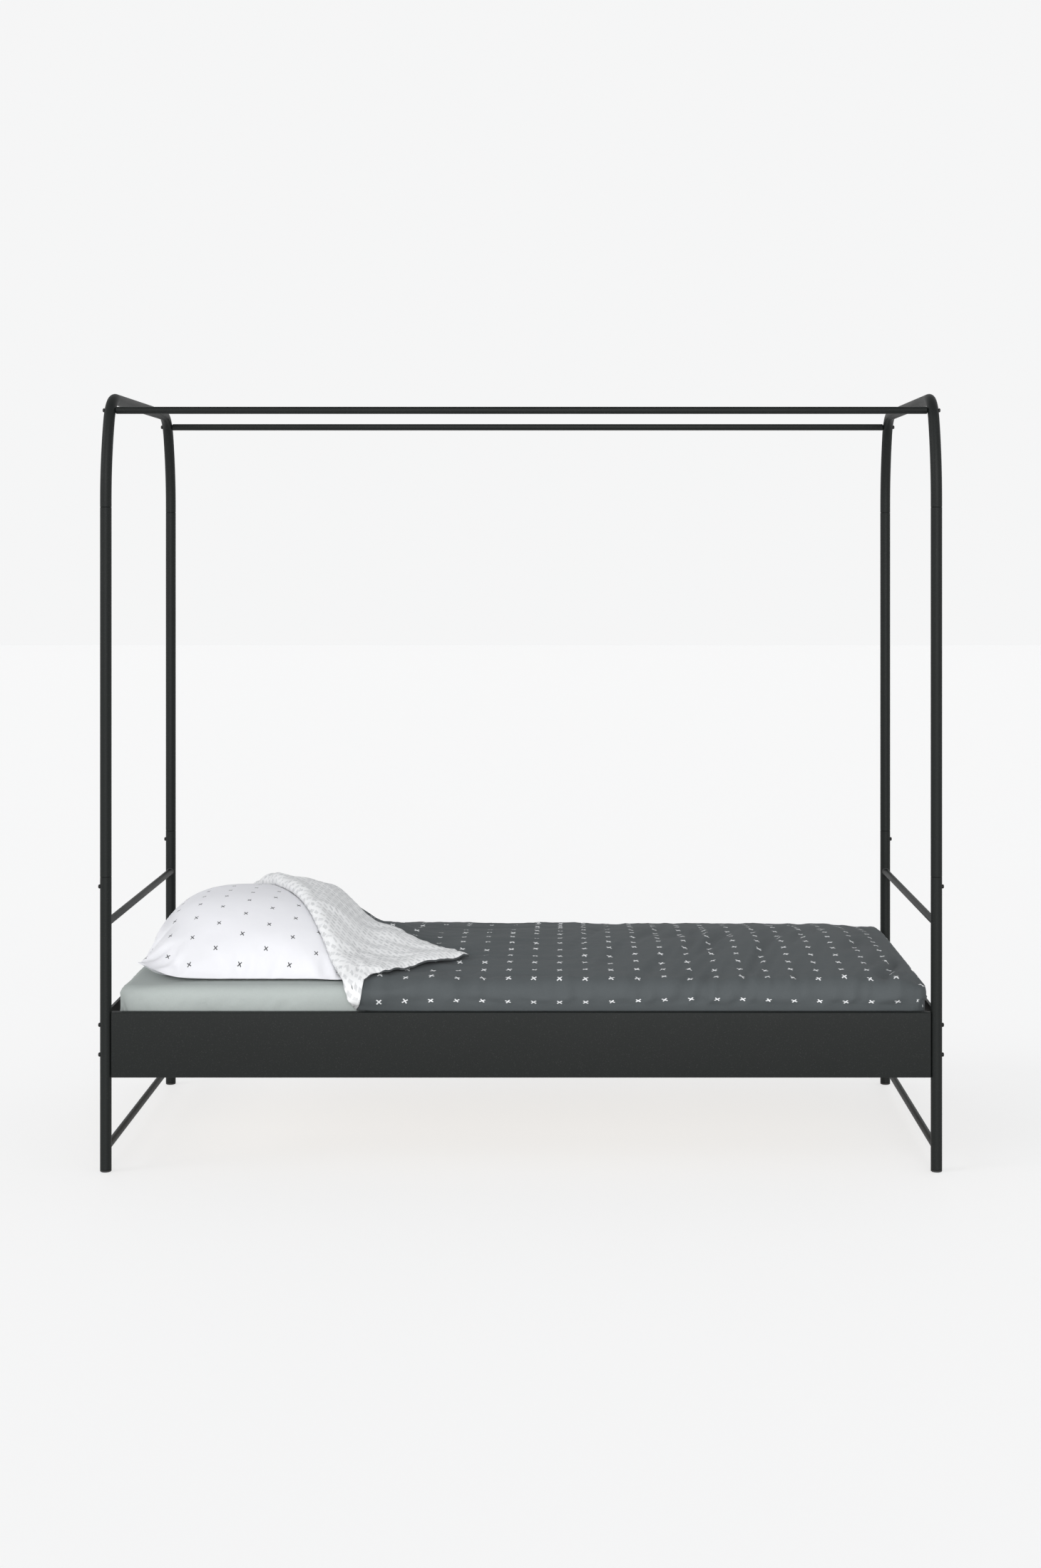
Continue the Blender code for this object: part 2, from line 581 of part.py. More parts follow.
def duvet(material):
    """A thick cover over mattress and pillow end, tucked down at the front, back and foot."""
    along, across = duvet_stations()
    flatX, flatY = (max(place for place, fall, _ in line if not fall) for line in (along, across))
    bm = bmesh.new()
    bmesh.ops.create_grid(bm, x_segments=len(along) - 1, y_segments=len(across) - 1, size=1)
    thickness = bm.verts.layers.float.new("thickness")
    outward = bm.verts.layers.float_vector.new("outward")
    for vert in bm.verts:
        x, fallX, tuckedX = along[round((vert.co.x + 1) / 2 * (len(along) - 1))]
        y, fallY, tuckedY = across[round((vert.co.y + 1) / 2 * (len(across) - 1))]
        tucked = tuckedX or tuckedY
        top = duvet_underside(min(x, flatX), max(-flatY, min(y, flatY)))
        vert.co = (x, y, (sheetTopZ + DUVET_GAP if tucked else top) - max(fallX, fallY))
        vert[thickness] = duvetTuckThickness if tucked else DUVET_THICKNESS
    bmesh.ops.remove_doubles(bm, verts=bm.verts, dist=MERGE)
    cut_away(bm, *fold_line(), -1)
    bm.normal_update()
    for vert in bm.verts:
        vert[outward] = vert.normal * vert[thickness]
    for item in bmesh.ops.extrude_face_region(bm, geom=bm.faces[:])["geom"]:
        if isinstance(item, bmesh.types.BMVert):
            item.co += item[outward]
    boolean(make_object("duvet", bm, material, smooth=True), duvet_fold(), "UNION")


def build():
    clear_scene()
    black = make_material("black_powder_coat", (0.022, 0.024, 0.023), 0.55, 0.3)
    plastic = make_material("black_plastic", (0.012, 0.012, 0.012), 0.5)
    boltBlack = make_material("black_bolt", (0.015, 0.015, 0.015), 0.4, 0.6)
    wood = make_material("slat_wood", (0.62, 0.47, 0.30), 0.6)
    ticking = make_material("mattress_ticking", (0.80, 0.79, 0.76), 0.9)
    sage = make_material("sage_cotton", (0.46, 0.50, 0.48), 0.9)
    white = make_material("white_cotton", (0.85, 0.85, 0.88), 0.9)
    gray = make_material("dark_gray_cotton", (0.10, 0.11, 0.12), 0.9)

    for endName, end in ENDS.items():
        for sideName, side in SIDES.items():
            corner = f"{endName}_{sideName}"
            lower_post(f"lower_post_{corner}", end * postX, side * postY, black)
            upper_post(f"upper_post_{corner}", end * postX, side * postY, black)
            foot_plug(f"foot_plug_{corner}", end * postX, side * postY, plastic)
        arch(f"canopy_arch_{endName}", end * postX, black)
        end_tube(f"upper_end_tube_{endName}", end * postX, UPPER_END_TUBE_Z, black)
        end_tube(f"lower_end_tube_{endName}", end * postX, LOWER_END_TUBE_Z, black)
        end_rail(f"end_rail_{endName}", end, black)
    for sideName, side in SIDES.items():
        crossbar(f"canopy_crossbar_{sideName}", side * (postY - crossbar_inset()), black)
        side_panel(f"side_panel_{sideName}", side, black)
        slat_ledge(f"slat_ledge_{sideName}", side, black)
    bolts(boltBlack)
    slats(wood)
    mattress(ticking)
    fitted_sheet(sage)
    pillow(white)
    duvet(gray)


build()
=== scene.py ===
import math

import bmesh
import bpy
from mathutils import Matrix, Vector, noise


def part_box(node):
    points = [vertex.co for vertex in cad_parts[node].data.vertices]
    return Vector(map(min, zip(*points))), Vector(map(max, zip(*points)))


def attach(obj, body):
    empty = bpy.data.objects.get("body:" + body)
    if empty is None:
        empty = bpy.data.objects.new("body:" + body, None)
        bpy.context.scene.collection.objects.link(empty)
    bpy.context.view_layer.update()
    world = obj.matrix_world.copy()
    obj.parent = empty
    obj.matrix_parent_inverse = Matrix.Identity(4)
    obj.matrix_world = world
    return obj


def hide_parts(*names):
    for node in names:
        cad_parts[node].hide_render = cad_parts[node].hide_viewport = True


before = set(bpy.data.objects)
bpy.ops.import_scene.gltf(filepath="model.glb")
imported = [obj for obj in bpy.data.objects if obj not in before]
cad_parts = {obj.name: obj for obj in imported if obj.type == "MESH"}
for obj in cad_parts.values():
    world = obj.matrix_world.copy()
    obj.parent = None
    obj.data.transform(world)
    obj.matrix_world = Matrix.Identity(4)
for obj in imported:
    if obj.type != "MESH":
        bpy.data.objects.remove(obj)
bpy.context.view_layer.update()  # a four poster canopy bed: the head at -X, the open front at -Y, the floor at 0
scene = bpy.context.scene
quarter = math.pi / 2
sameSpot = 0.00002  # corners nearer than this are one corner

studio = {
    "eye": (0.121, -6.183, 1.535), "lens": 53.43, "shift": (-0.0318, -0.1514), "farthest": 200,
    "backdrop": (0.918, 0.920, 0.922), "ceiling": (0.50, 0.51, 0.52), "ceilingFrom": 0.30,
    "ceilingBlend": 1.8, "floorSize": 60.0,
    "frontLight": {"source": (0.05, -1.0, 0.24), "power": 1.60, "spread": 30},
    "sideLight": {"source": (-1.0, -0.42, 0.42), "power": 0.75, "spread": 22},
}


def setCamera():
    data = bpy.data.cameras.new("camera")
    data.lens = studio["lens"]
    data.sensor_width = 36.0
    data.shift_x, data.shift_y = studio["shift"]
    data.clip_end = studio["farthest"]
    camera = bpy.data.objects.new("camera", data)
    camera.location = studio["eye"]
    camera.rotation_euler = (quarter, 0, 0)
    scene.collection.objects.link(camera)
    scene.camera = camera


setCamera()


class Wire:  # a socket of a node tree; arithmetic on values adds Math nodes
    def __init__(self, tree, socket=None):
        self.tree = tree
        self.socket = socket

    def node(self, kind, settings=(), sockets=(), out=0):
        node = self.tree.nodes.new(kind)
        for name, value in dict(settings).items():
            setattr(node, name, value)
        for name, value in dict(sockets).items():
            if isinstance(value, Wire):
                self.tree.links.new(value.socket, node.inputs[name])
            else:
                node.inputs[name].default_value = value
        return None if out is None else Wire(self.tree, node.outputs[out])

    def math(self, operation, *others, clamp=False):
        values = dict(enumerate([self, *others]))
        return self.node("ShaderNodeMath", {"operation": operation, "use_clamp": clamp}, values)

    def __add__(self, other):
        return self.math("ADD", other)

    __radd__ = __add__

    def __sub__(self, other):
        return self.math("SUBTRACT", other)

    def __rsub__(self, other):
        return (self * -1.0) + other

    def __mul__(self, other):
        return self.math("MULTIPLY", other)

    __rmul__ = __mul__

    def __truediv__(self, other):
        return self.math("DIVIDE", other)

    def clamped(self):
        return self.math("ADD", 0.0, clamp=True)

    def over(self, level, steepness):  # 0 up to a level, then rising to 1
        return (self - level).math("MULTIPLY", steepness, clamp=True)

    def axes(self):
        return [self.node("ShaderNodeSeparateXYZ", sockets={0: self}, out=i) for i in range(3)]

    def scaled(self, factors):
        return self.node("ShaderNodeVectorMath", {"operation": "MULTIPLY"}, {0: self, 1: factors})

    def noise(self, scale, detail):
        return self.node("ShaderNodeTexNoise",
                         sockets={"Vector": self, "Scale": scale, "Detail": detail})

    def mix(self, first, second):  # colours, by this factor
        colors = {i: c if isinstance(c, Wire) else (*c, 1) for i, c in ((6, first), (7, second))}
        return self.node("ShaderNodeMix", {"data_type": "RGBA"}, {0: self, **colors}, out=2)

    def bump(self, depth, strength, below=None):
        sockets = {"Height": self, "Distance": depth, "Strength": strength}
        if below:
            sockets["Normal"] = below
        return self.node("ShaderNodeBump", sockets=sockets)


def softSun(name):  # light from a far, wide source
    data = bpy.data.lights.new(name, "SUN")
    data.energy = studio[name]["power"]
    data.angle = math.radians(studio[name]["spread"])
    light = bpy.data.objects.new(name, data)
    light.rotation_euler = Vector(studio[name]["source"]).to_track_quat("Z", "Y").to_euler()
    scene.collection.objects.link(light)


def setWorld():  # a pale backdrop all round, darker overhead
    world = bpy.data.worlds.new("studio")
    scene.world = world
    world.use_nodes = True
    tree = world.node_tree
    tree.nodes.clear()
    height = Wire(tree).node("ShaderNodeTexCoord", out=0).axes()[2]
    overhead = ((height - studio["ceilingFrom"]) * studio["ceilingBlend"]).clamped()
    color = overhead.mix(studio["backdrop"], studio["ceiling"])
    light = Wire(tree).node("ShaderNodeBackground", sockets={"Color": color})
    Wire(tree).node("ShaderNodeOutputWorld", sockets={"Surface": light}, out=None)


def makeFinish(name, fixed, build):
    material = bpy.data.materials.new(name)
    material.use_nodes = True
    tree = material.node_tree
    shader = tree.nodes["Principled BSDF"]
    for socket, value in fixed.items():
        shader.inputs[socket].default_value = value
    for socket, wire in build(Wire(tree)).items():
        tree.links.new(wire.socket, shader.inputs[socket])
    return material


def objectPlace(wire):
    return wire.node("ShaderNodeTexCoord", out=3)


def clothPlace(wire):
    return wire.node("ShaderNodeUVMap", {"uv_map": "cloth"})


shades = {  # each finish's two main colours, and the colour of what lies on it
    "coat": ((0.0056, 0.0070, 0.0066), (0.0082, 0.0100, 0.0094)), "coatSpeck": (0.034, 0.036, 0.035),
    "bolt": ((0.014, 0.014, 0.014), (0.07, 0.07, 0.068)),
    "plug": ((0.012, 0.012, 0.012), (0.05, 0.05, 0.05)),
    "weld": ((0.017, 0.018, 0.018), (0.03, 0.031, 0.031)),
    "wood": ((0.71, 0.555, 0.375), (0.56, 0.40, 0.235)),
    "woodFibre": (0.47, 0.32, 0.18), "woodKnot": (0.25, 0.14, 0.07),
    # the ticking's darker colour is partly the knit's own tone and partly painted shade in the quilting's dips
    "ticking": ((0.80, 0.79, 0.76), (0.60, 0.59, 0.56)),
    "sheet": ((0.300, 0.332, 0.320), (0.460, 0.495, 0.480)), "sheetFade": (0.48, 0.515, 0.50),
    "pillow": ((0.78, 0.78, 0.81), (0.72, 0.72, 0.75)), "pillowCross": (0.025, 0.025, 0.028),
    "duvet": ((0.070, 0.079, 0.083), (0.098, 0.108, 0.112)), "duvetCross": (0.80, 0.81, 0.82),
    "reverse": ((0.69, 0.695, 0.70), (0.79, 0.795, 0.80)), "reverseDash": (0.42, 0.43, 0.44),
    "hem": ((0.060, 0.065, 0.068), (0.10, 0.107, 0.112)),
    "floor": ((0.335, 0.335, 0.335), (0.345, 0.345, 0.345)),
}


def powderCoat(wire):  # fine orange-peel texture over a dry black coat
    place = objectPlace(wire)
    peel = place.noise(900, 3)
    cloud = place.noise(7, 3)
    speck = place.noise(420, 1).over(0.62, 9.0)
    color = cloud.mix(*shades["coat"])
    return {"Base Color": (speck * 0.35).mix(color, shades["coatSpeck"]),
            "Roughness": 0.40 + cloud * 0.16 + peel * 0.08,
            "Normal": (peel + cloud * 0.4).bump(0.00025, 0.55)}


def boltBlack(wire):
    place = objectPlace(wire)
    grain = place.noise(1500, 2)
    worn = place.noise(160, 3).over(0.55, 5.0)
    return {"Base Color": (worn * 0.5).mix(*shades["bolt"]),
            "Roughness": 0.30 + grain * 0.2, "Normal": grain.bump(0.0001, 0.4)}


def plugPlastic(wire):
    place = objectPlace(wire)
    grain = place.noise(1800, 2)
    scuff = place.scaled((60, 60, 400)).noise(1.0, 4).over(0.6, 4.0)
    return {"Base Color": (scuff * 0.5).mix(*shades["plug"]),
            "Roughness": 0.45 + grain * 0.2, "Normal": grain.bump(0.0001, 0.35)}


def weldBead(wire):
    place = objectPlace(wire)
    lumps = place.noise(420, 2)
    return {"Base Color": lumps.mix(*shades["weld"]),
            "Roughness": 0.42 + lumps * 0.15, "Normal": lumps.bump(0.0006, 0.6)}


def slatWood(wire):  # birch, the grain along Y
    place = objectPlace(wire)
    warp = place.scaled((9, 0.7, 9)).noise(1.0, 3)
    rings = (place.scaled((55, 0.9, 55)).noise(1.0, 2) * 9.0 + warp * 5.0).math("FRACT")
    fibre = place.scaled((900, 14, 900)).noise(1.0, 3)
    knots = place.scaled((16, 5, 16)).noise(1.0, 1).over(0.71, 8.0)
    color = (fibre * 0.35).mix((rings * 0.55).mix(*shades["wood"]), shades["woodFibre"])
    return {"Base Color": knots.mix(color, shades["woodKnot"]),
            "Roughness": 0.52 + fibre * 0.2, "Normal": (fibre + rings * 0.5).bump(0.0003, 0.5)}


def plainWeave(place, pitch):  # one thread over, one under
    u, v = place.axes()[:2]
    turns = 2 * math.pi / pitch
    return (u * turns).math("SINE") * (v * turns).math("SINE") * 0.5 + 0.5


def slubs(place):  # thicker and thinner threads, both ways
    along = place.scaled((90, 1900, 1)).noise(1.0, 2)
    across = place.scaled((1900, 90, 1)).noise(1.0, 2)
    return (along + across) * 0.5


cloths = {  # weave and crease are a depth and a strength, rough is a least value and a spread
    "sheet": {"pitch": 0.0011, "slub": 1.6, "weave": (0.00025, 0.6), "creases": 26,
              "crease": (0.004, 0.35), "rough": (0.78, 0.15)},
    "pillow": {"pitch": 0.0008, "slub": 0.8, "weave": (0.00018, 0.55), "creases": 22,
               "crease": (0.004, 0.4), "rough": (0.80, 0.12)},
    "duvet": {"pitch": 0.0009, "slub": 0.8, "weave": (0.00020, 0.55), "creases": 20,
              "crease": (0.005, 0.4), "rough": (0.80, 0.12)},
    "reverse": {"pitch": 0.0009, "slub": 0.8, "weave": (0.00020, 0.55), "creases": 24,
                "crease": (0.004, 0.4), "rough": (0.80, 0.12)},
}


def wovenSurface(place, thread, form):
    weave = plainWeave(place, form["pitch"])
    creases = place.noise(form["creases"], 4).bump(*form["crease"])
    return {"Roughness": form["rough"][0] + weave * form["rough"][1],
            "Normal": (weave + thread * form["slub"]).bump(*form["weave"], creases)}


quiltPitch = 38.0


def ticking(wire):  # quilted in diamonds
    place = objectPlace(wire)
    x, y = place.axes()[:2]
    first = ((x + y) * quiltPitch).math("SINE").math("ABSOLUTE")
    second = ((x - y) * quiltPitch).math("SINE").math("ABSOLUTE")
    puff = first.math("MINIMUM", second).math("POWER", 0.5)
    knit = place.noise(1600, 1)
    # the colour darkens along the quilting's stitched dips, which is painted shade; the knit noise is the
    # ticking's own tone
    return {"Base Color": (knit * 0.5 + (1 - puff) * 0.4).mix(*shades["ticking"]),
            "Roughness": 0.82 + knit * 0.1, "Normal": knit.bump(0.0002, 0.4, puff.bump(0.006, 0.7))}


def sheetCotton(wire):  # grey-green, washed linen look
    place = clothPlace(wire)
    thread = slubs(place)
    fade = place.noise(5, 3)
    return {"Base Color": (fade * 0.3).mix(thread.mix(*shades["sheet"]), shades["sheetFade"]),
            **wovenSurface(place, thread, cloths["sheet"])}


pillowPrint = {"pitch": (0.062, 0.065), "drop": 0.5, "size": 0.0125, "stroke": 0.0023,
               "shake": 0.0012, "shakes": 160.0, "turn": 0.5, "soft": 0.0004, "ink": 0.93}
duvetPrint = {"pitch": (0.064, 0.064), "drop": 0.0, "size": 0.0165, "stroke": 0.0034,
              "shake": 0.0026, "shakes": 160.0, "turn": 0.7, "soft": 0.0005, "ink": 0.80}
reversePrint = {"pitch": (0.012, 0.018), "length": 0.0125, "width": 0.0052, "lean": 0.35,
                "wander": (0.004, 0.006), "wanders": 120, "soft": (0.0010, 0.0022),
                "bristles": (900, 160, 1), "ink": 0.8}


def crossPrint(wire, place, form):  # one small hand-drawn cross in every cell
    cloud = wire.node("ShaderNodeTexNoise", sockets={"Vector": place, "Scale": form["shakes"]}, out=1)
    drift = wire.node("ShaderNodeVectorMath", {"operation": "SUBTRACT"}, {0: cloud, 1: (0.5, 0.5, 0.5)})
    shaky = wire.node("ShaderNodeVectorMath", {"operation": "ADD"},
                      {0: place, 1: drift.scaled((form["shake"],) * 3)})
    x, y = shaky.axes()[:2]
    x, y = x / form["pitch"][0], y / form["pitch"][1]
    column = x.math("FLOOR")
    y = y + column.math("PINGPONG", 1.0) * form["drop"]
    cell = wire.node("ShaderNodeCombineXYZ", sockets={0: column, 1: y.math("FLOOR")})
    turn = (wire.node("ShaderNodeTexWhiteNoise", {"noise_dimensions": "2D"}, {"Vector": cell})
            - 0.5) * form["turn"]
    x = (x.math("FRACT") - 0.5) * form["pitch"][0]
    y = (y.math("FRACT") - 0.5) * form["pitch"][1]
    sine, cosine = (turn + math.pi / 4).math("SINE"), (turn + math.pi / 4).math("COSINE")
    first = (x * cosine - y * sine).math("ABSOLUTE")
    second = (x * sine + y * cosine).math("ABSOLUTE")

    def within(distance, limit):
        return ((limit - distance) / form["soft"] + 0.5).clamped()

    half, thick = form["size"] / 2, form["stroke"] / 2
    return (within(first, half) * within(second, thick)).math(
        "MAXIMUM", within(second, half) * within(first, thick))


def pillowCotton(wire):
    place = clothPlace(wire)
    thread = slubs(place)
    ink = crossPrint(wire, place, pillowPrint) * pillowPrint["ink"]
    return {"Base Color": ink.mix((thread * 0.6).mix(*shades["pillow"]), shades["pillowCross"]),
            **wovenSurface(place, thread, cloths["pillow"])}


def duvetCotton(wire):
    place = clothPlace(wire)
    thread = slubs(place)
    ink = crossPrint(wire, place, duvetPrint) * (duvetPrint["ink"] + thread * 0.3).clamped()
    return {"Base Color": ink.mix(thread.mix(*shades["duvet"]), shades["duvetCross"]),
            **wovenSurface(place, thread, cloths["duvet"])}


def duvetReverse(wire):  # short brush dashes in staggered rows
    form = reversePrint
    place = clothPlace(wire)
    thread = slubs(place)
    wander = place.noise(form["wanders"], 2) - 0.5
    x, y = place.axes()[:2]
    x = (x + wander * form["wander"][0]) / form["pitch"][0]
    column = x.math("FLOOR")
    y = (y + wander * form["wander"][1]) / form["pitch"][1] + column.math("PINGPONG", 1.0) * 0.5
    cell = wire.node("ShaderNodeCombineXYZ", sockets={0: column, 1: y.math("FLOOR")})
    luck = wire.node("ShaderNodeTexWhiteNoise", {"noise_dimensions": "2D"}, {"Vector": cell})
    across = (x.math("FRACT") - 0.5) * form["pitch"][0]
    along = (y.math("FRACT") - 0.5) * form["pitch"][1]
    across = (across + along * form["lean"] * (luck - 0.5)).math("ABSOLUTE")
    fits = ((form["width"] / 2 - across) / form["soft"][0] + 0.5).clamped()
    fits = fits * ((form["length"] / 2 - along.math("ABSOLUTE")) / form["soft"][1] + 0.5).clamped()
    dry = (place.scaled(form["bristles"]).noise(1.0, 2) * 1.9 - 0.35).clamped()
    dash = fits * (0.35 + dry * 0.65) * (0.55 + luck * 0.45) * form["ink"]
    return {"Base Color": dash.mix(thread.mix(*shades["reverse"]), shades["reverseDash"]),
            **wovenSurface(place, thread, cloths["reverse"])}


def hemCotton(wire):
    place = clothPlace(wire)
    thread = slubs(place)
    return {"Base Color": thread.mix(*shades["hem"]),
            "Roughness": 0.85 + thread * 0.1, "Normal": thread.bump(0.0004, 0.6)}


def floorPaint(wire):
    cloud = objectPlace(wire).noise(0.6, 2)
    return {"Base Color": cloud.mix(*shades["floor"]), "Roughness": 0.72 + cloud * 0.1}


clothFixed = {"Sheen Weight": 0.04, "Sheen Roughness": 0.5, "Specular IOR Level": 0.06}
finishes = {
    "coat": makeFinish("powderCoat", {"Specular IOR Level": 0.2}, powderCoat),
    "bolt": makeFinish("boltBlack", {"Metallic": 0.4}, boltBlack),
    "plug": makeFinish("plugPlastic", {}, plugPlastic),
    "weld": makeFinish("weldBead", {}, weldBead),
    "wood": makeFinish("slatWood", {"Specular IOR Level": 0.3}, slatWood),
    "ticking": makeFinish("mattressTicking", clothFixed, ticking),
    "sheet": makeFinish("sheetCotton", clothFixed, sheetCotton),
    "pillow": makeFinish("pillowCotton", clothFixed, pillowCotton),
    "duvet": makeFinish("duvetCotton", clothFixed, duvetCotton),
    "reverse": makeFinish("duvetReverse", clothFixed, duvetReverse),
    "hem": makeFinish("hemCotton", clothFixed, hemCotton),
    "floor": makeFinish("floorPaint", {"Specular IOR Level": 0.1, "Emission Color": (1, 1, 1, 1),
                                       "Emission Strength": 0.62}, floorPaint),
}
print("finishes made")


def makePiece(name, bm, *materials, sharp=40):
    mesh = bpy.data.meshes.new(name)
    bm.to_mesh(mesh)
    bm.free()
    for material in materials:
        mesh.materials.append(material)
    mesh.shade_smooth()
    mesh.set_sharp_from_angle(angle=math.radians(sharp))
    piece = bpy.data.objects.new(name, mesh)
    scene.collection.objects.link(piece)
    return piece


def settle(piece, body, slot, *nodes):
    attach(piece, body)
    if nodes:
        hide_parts(*nodes)


def kind(items, wanted):
    return [item for item in items if isinstance(item, wanted)]


def turned(profile, sides, closed=True):  # (radius, z) points turned about Z
    bm = bmesh.new()
    points = [bm.verts.new((radius, 0, z)) for radius, z in profile]
    edges = [bm.edges.new(pair) for pair in zip(points, points[1:])]
    if closed:
        edges.append(bm.edges.new((points[-1], points[0])))
    bmesh.ops.spin(bm, geom=points + edges, cent=(0, 0, 0), axis=(0, 0, 1), angle=2 * math.pi,
                   steps=sides, use_merge=True)
    bmesh.ops.remove_doubles(bm, verts=bm.verts, dist=sameSpot)
    bmesh.ops.recalc_face_normals(bm, faces=bm.faces)
    return bm


def swept(places, sides, loop=False):  # a circle carried through the given matrices
    bm = bmesh.new()
    bmesh.ops.create_circle(bm, segments=sides, radius=1, matrix=places[0])
    edges = bm.edges[:]
    for place, following in zip(places, places[1:]):
        grown = bmesh.ops.extrude_edge_only(bm, edges=edges)["geom"]
        edges = kind(grown, bmesh.types.BMEdge)
        bmesh.ops.transform(bm, matrix=following @ place.inverted(),
                            verts=kind(grown, bmesh.types.BMVert))
    if loop:
        bmesh.ops.remove_doubles(bm, verts=bm.verts, dist=sameSpot)
    else:
        bmesh.ops.holes_fill(bm, edges=bm.edges)
    bmesh.ops.recalc_face_normals(bm, faces=bm.faces)
    return bm


def rounded(bm, edges, size, segments):
    bmesh.ops.bevel(bm, geom=edges, offset=size, segments=segments, profile=0.5,
                    affect="EDGES", material=-1)


def block(low, high):
    bm = bmesh.new()
    bmesh.ops.create_cube(bm, size=1)
    bmesh.ops.scale(bm, vec=high - low, verts=bm.verts)
    bmesh.ops.translate(bm, vec=(low + high) / 2, verts=bm.verts)
    return bm


def upright(bm, low, high):  # moves a turned part to the middle of its node
    bmesh.ops.translate(bm, vec=((low.x + high.x) / 2, (low.y + high.y) / 2, 0), verts=bm.verts)


def smoothStep(share):
    share = min(max(share, 0.0), 1.0)
    return share * share * (3 - 2 * share)


def eased(value, start, over):  # 0 up to the start, and 1 once that much further
    return smoothStep((value - start) / over)


def ripple(x, y, seed):
    return noise.noise(Vector((x, y, seed)))


def wave(form, x, y):  # form is height, waves to the metre each way, and seed
    return form[0] * ripple(x * form[1], y * form[2], form[3])


def ridge(form, x, y):  # the same with sharp crests
    return form[0] * (0.5 - abs(ripple(x * form[1], y * form[2], form[3])) * 2)


tube = {"wall": 0.0015, "edge": 0.0007, "sides": 48, "slimSides": 36, "spigotGap": 0.0003}
archForm = {"legRadius": 0.520, "legAngle": math.radians(23), "cornerRadius": 0.088,
            "legSteps": 12, "cornerSteps": 14, "seamBelowBend": 0.015, "spigot": 0.060}


def steelPiece(name, bm, node, sharp=40):
    settle(makePiece(name, bm, finishes["coat"], sharp=sharp), "bed_frame", "frame_steel", node)


def lowerPost(corner):
    low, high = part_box(f"lower_post_{corner}")
    radius, edge = (high.x - low.x) / 2, tube["edge"]
    bore = radius - tube["wall"]
    bm = turned([(bore, low.z), (radius - edge, low.z), (radius, low.z + edge),
                 (radius, high.z - edge), (radius - edge, high.z), (bore, high.z)], tube["sides"])
    upright(bm, low, high)
    steelPiece(f"lowerPost_{corner}", bm, f"lower_post_{corner}")


def upperPost(corner):
    low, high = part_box(f"upper_post_{corner}")
    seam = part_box(f"lower_post_{corner}")[1].z + tube["spigotGap"]
    radius, edge = (high.x - low.x) / 2, tube["edge"]
    bore = radius - tube["wall"]
    spigot = bore - tube["spigotGap"]
    inside = spigot - tube["wall"]
    bm = turned([(inside, low.z), (spigot - edge, low.z), (spigot, low.z + edge), (spigot, seam),
                 (radius - edge, seam), (radius, seam + edge), (radius, high.z - edge),
                 (radius - edge, high.z), (bore, high.z), (bore, seam + tube["wall"]),
                 (inside, seam + tube["wall"])], tube["sides"])
    upright(bm, low, high)
    steelPiece(f"upperPost_{corner}", bm, f"upper_post_{corner}")


def archPlaces(low, high):
    radius = (high.x - low.x) / 2
    spigot = radius - tube["wall"] - tube["spigotGap"]
    lean, corner = archForm["legRadius"], archForm["cornerRadius"]
    first = archForm["legAngle"]
    bendStart = high.z - radius - lean * math.sin(first) - corner * (1 - math.sin(first))
    seam = bendStart - archForm["seamBelowBend"]
    leg = [(0, seam - archForm["spigot"], 0, spigot), (0, seam, 0, spigot),
           (0, seam, 0, radius - tube["edge"]), (0, seam + tube["edge"], 0, radius)]
    turns = [first * i / archForm["legSteps"] for i in range(archForm["legSteps"])]
    turns += [first + (quarter - first) * i / archForm["cornerSteps"]
              for i in range(archForm["cornerSteps"] + 1)]
    for turn in turns:
        slow = min(turn, first)
        inset = lean * (1 - math.cos(slow))
        height = bendStart + lean * math.sin(slow)
        if turn > first:
            inset += corner * (math.cos(first) - math.cos(turn))
            height += corner * (math.sin(turn) - math.sin(first))
        leg.append((inset, height, turn, radius))
    reach = (high.y - low.y) / 2 - radius
    stations = [(inset - reach, z, -turn, size) for inset, z, turn, size in leg]
    stations += [(reach - inset, z, turn - math.pi, size) for inset, z, turn, size in reversed(leg)]
    return [Matrix.Translation(((low.x + high.x) / 2, y, z)) @ Matrix.Rotation(turn, 4, "X")
            @ Matrix.Scale(size, 4) for y, z, turn, size in stations]


def canopyArch(end):
    bm = swept(archPlaces(*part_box(f"canopy_arch_{end}")), tube["sides"])
    steelPiece(f"canopyArch_{end}", bm, f"canopy_arch_{end}")


crossbarForm = {"face": 0.0015, "shoulder": (0.0004, 0.0012), "body": 0.0021}


def canopyCrossbar(side):
    low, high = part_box(f"canopy_crossbar_{side}")
    half, radius = (high.x - low.x) / 2, (high.z - low.z) / 2
    inset, back = crossbarForm["shoulder"]
    profile = [(0, half), (radius - crossbarForm["face"], half), (radius - inset, half - back),
               (radius, half - crossbarForm["body"])]
    profile = [(size, -place) for size, place in profile] + profile[::-1]
    bm = turned(profile, tube["slimSides"], closed=False)
    bmesh.ops.transform(bm, verts=bm.verts, matrix=Matrix.Translation((low + high) / 2)
                        @ Matrix.Rotation(quarter, 4, "Y"))
    steelPiece(f"canopyCrossbar_{side}", bm, f"canopy_crossbar_{side}")


weld = {"bead": 0.0016, "around": 40, "across": 10, "sunk": 0.0030, "lumps": 11, "uneven": 0.12}


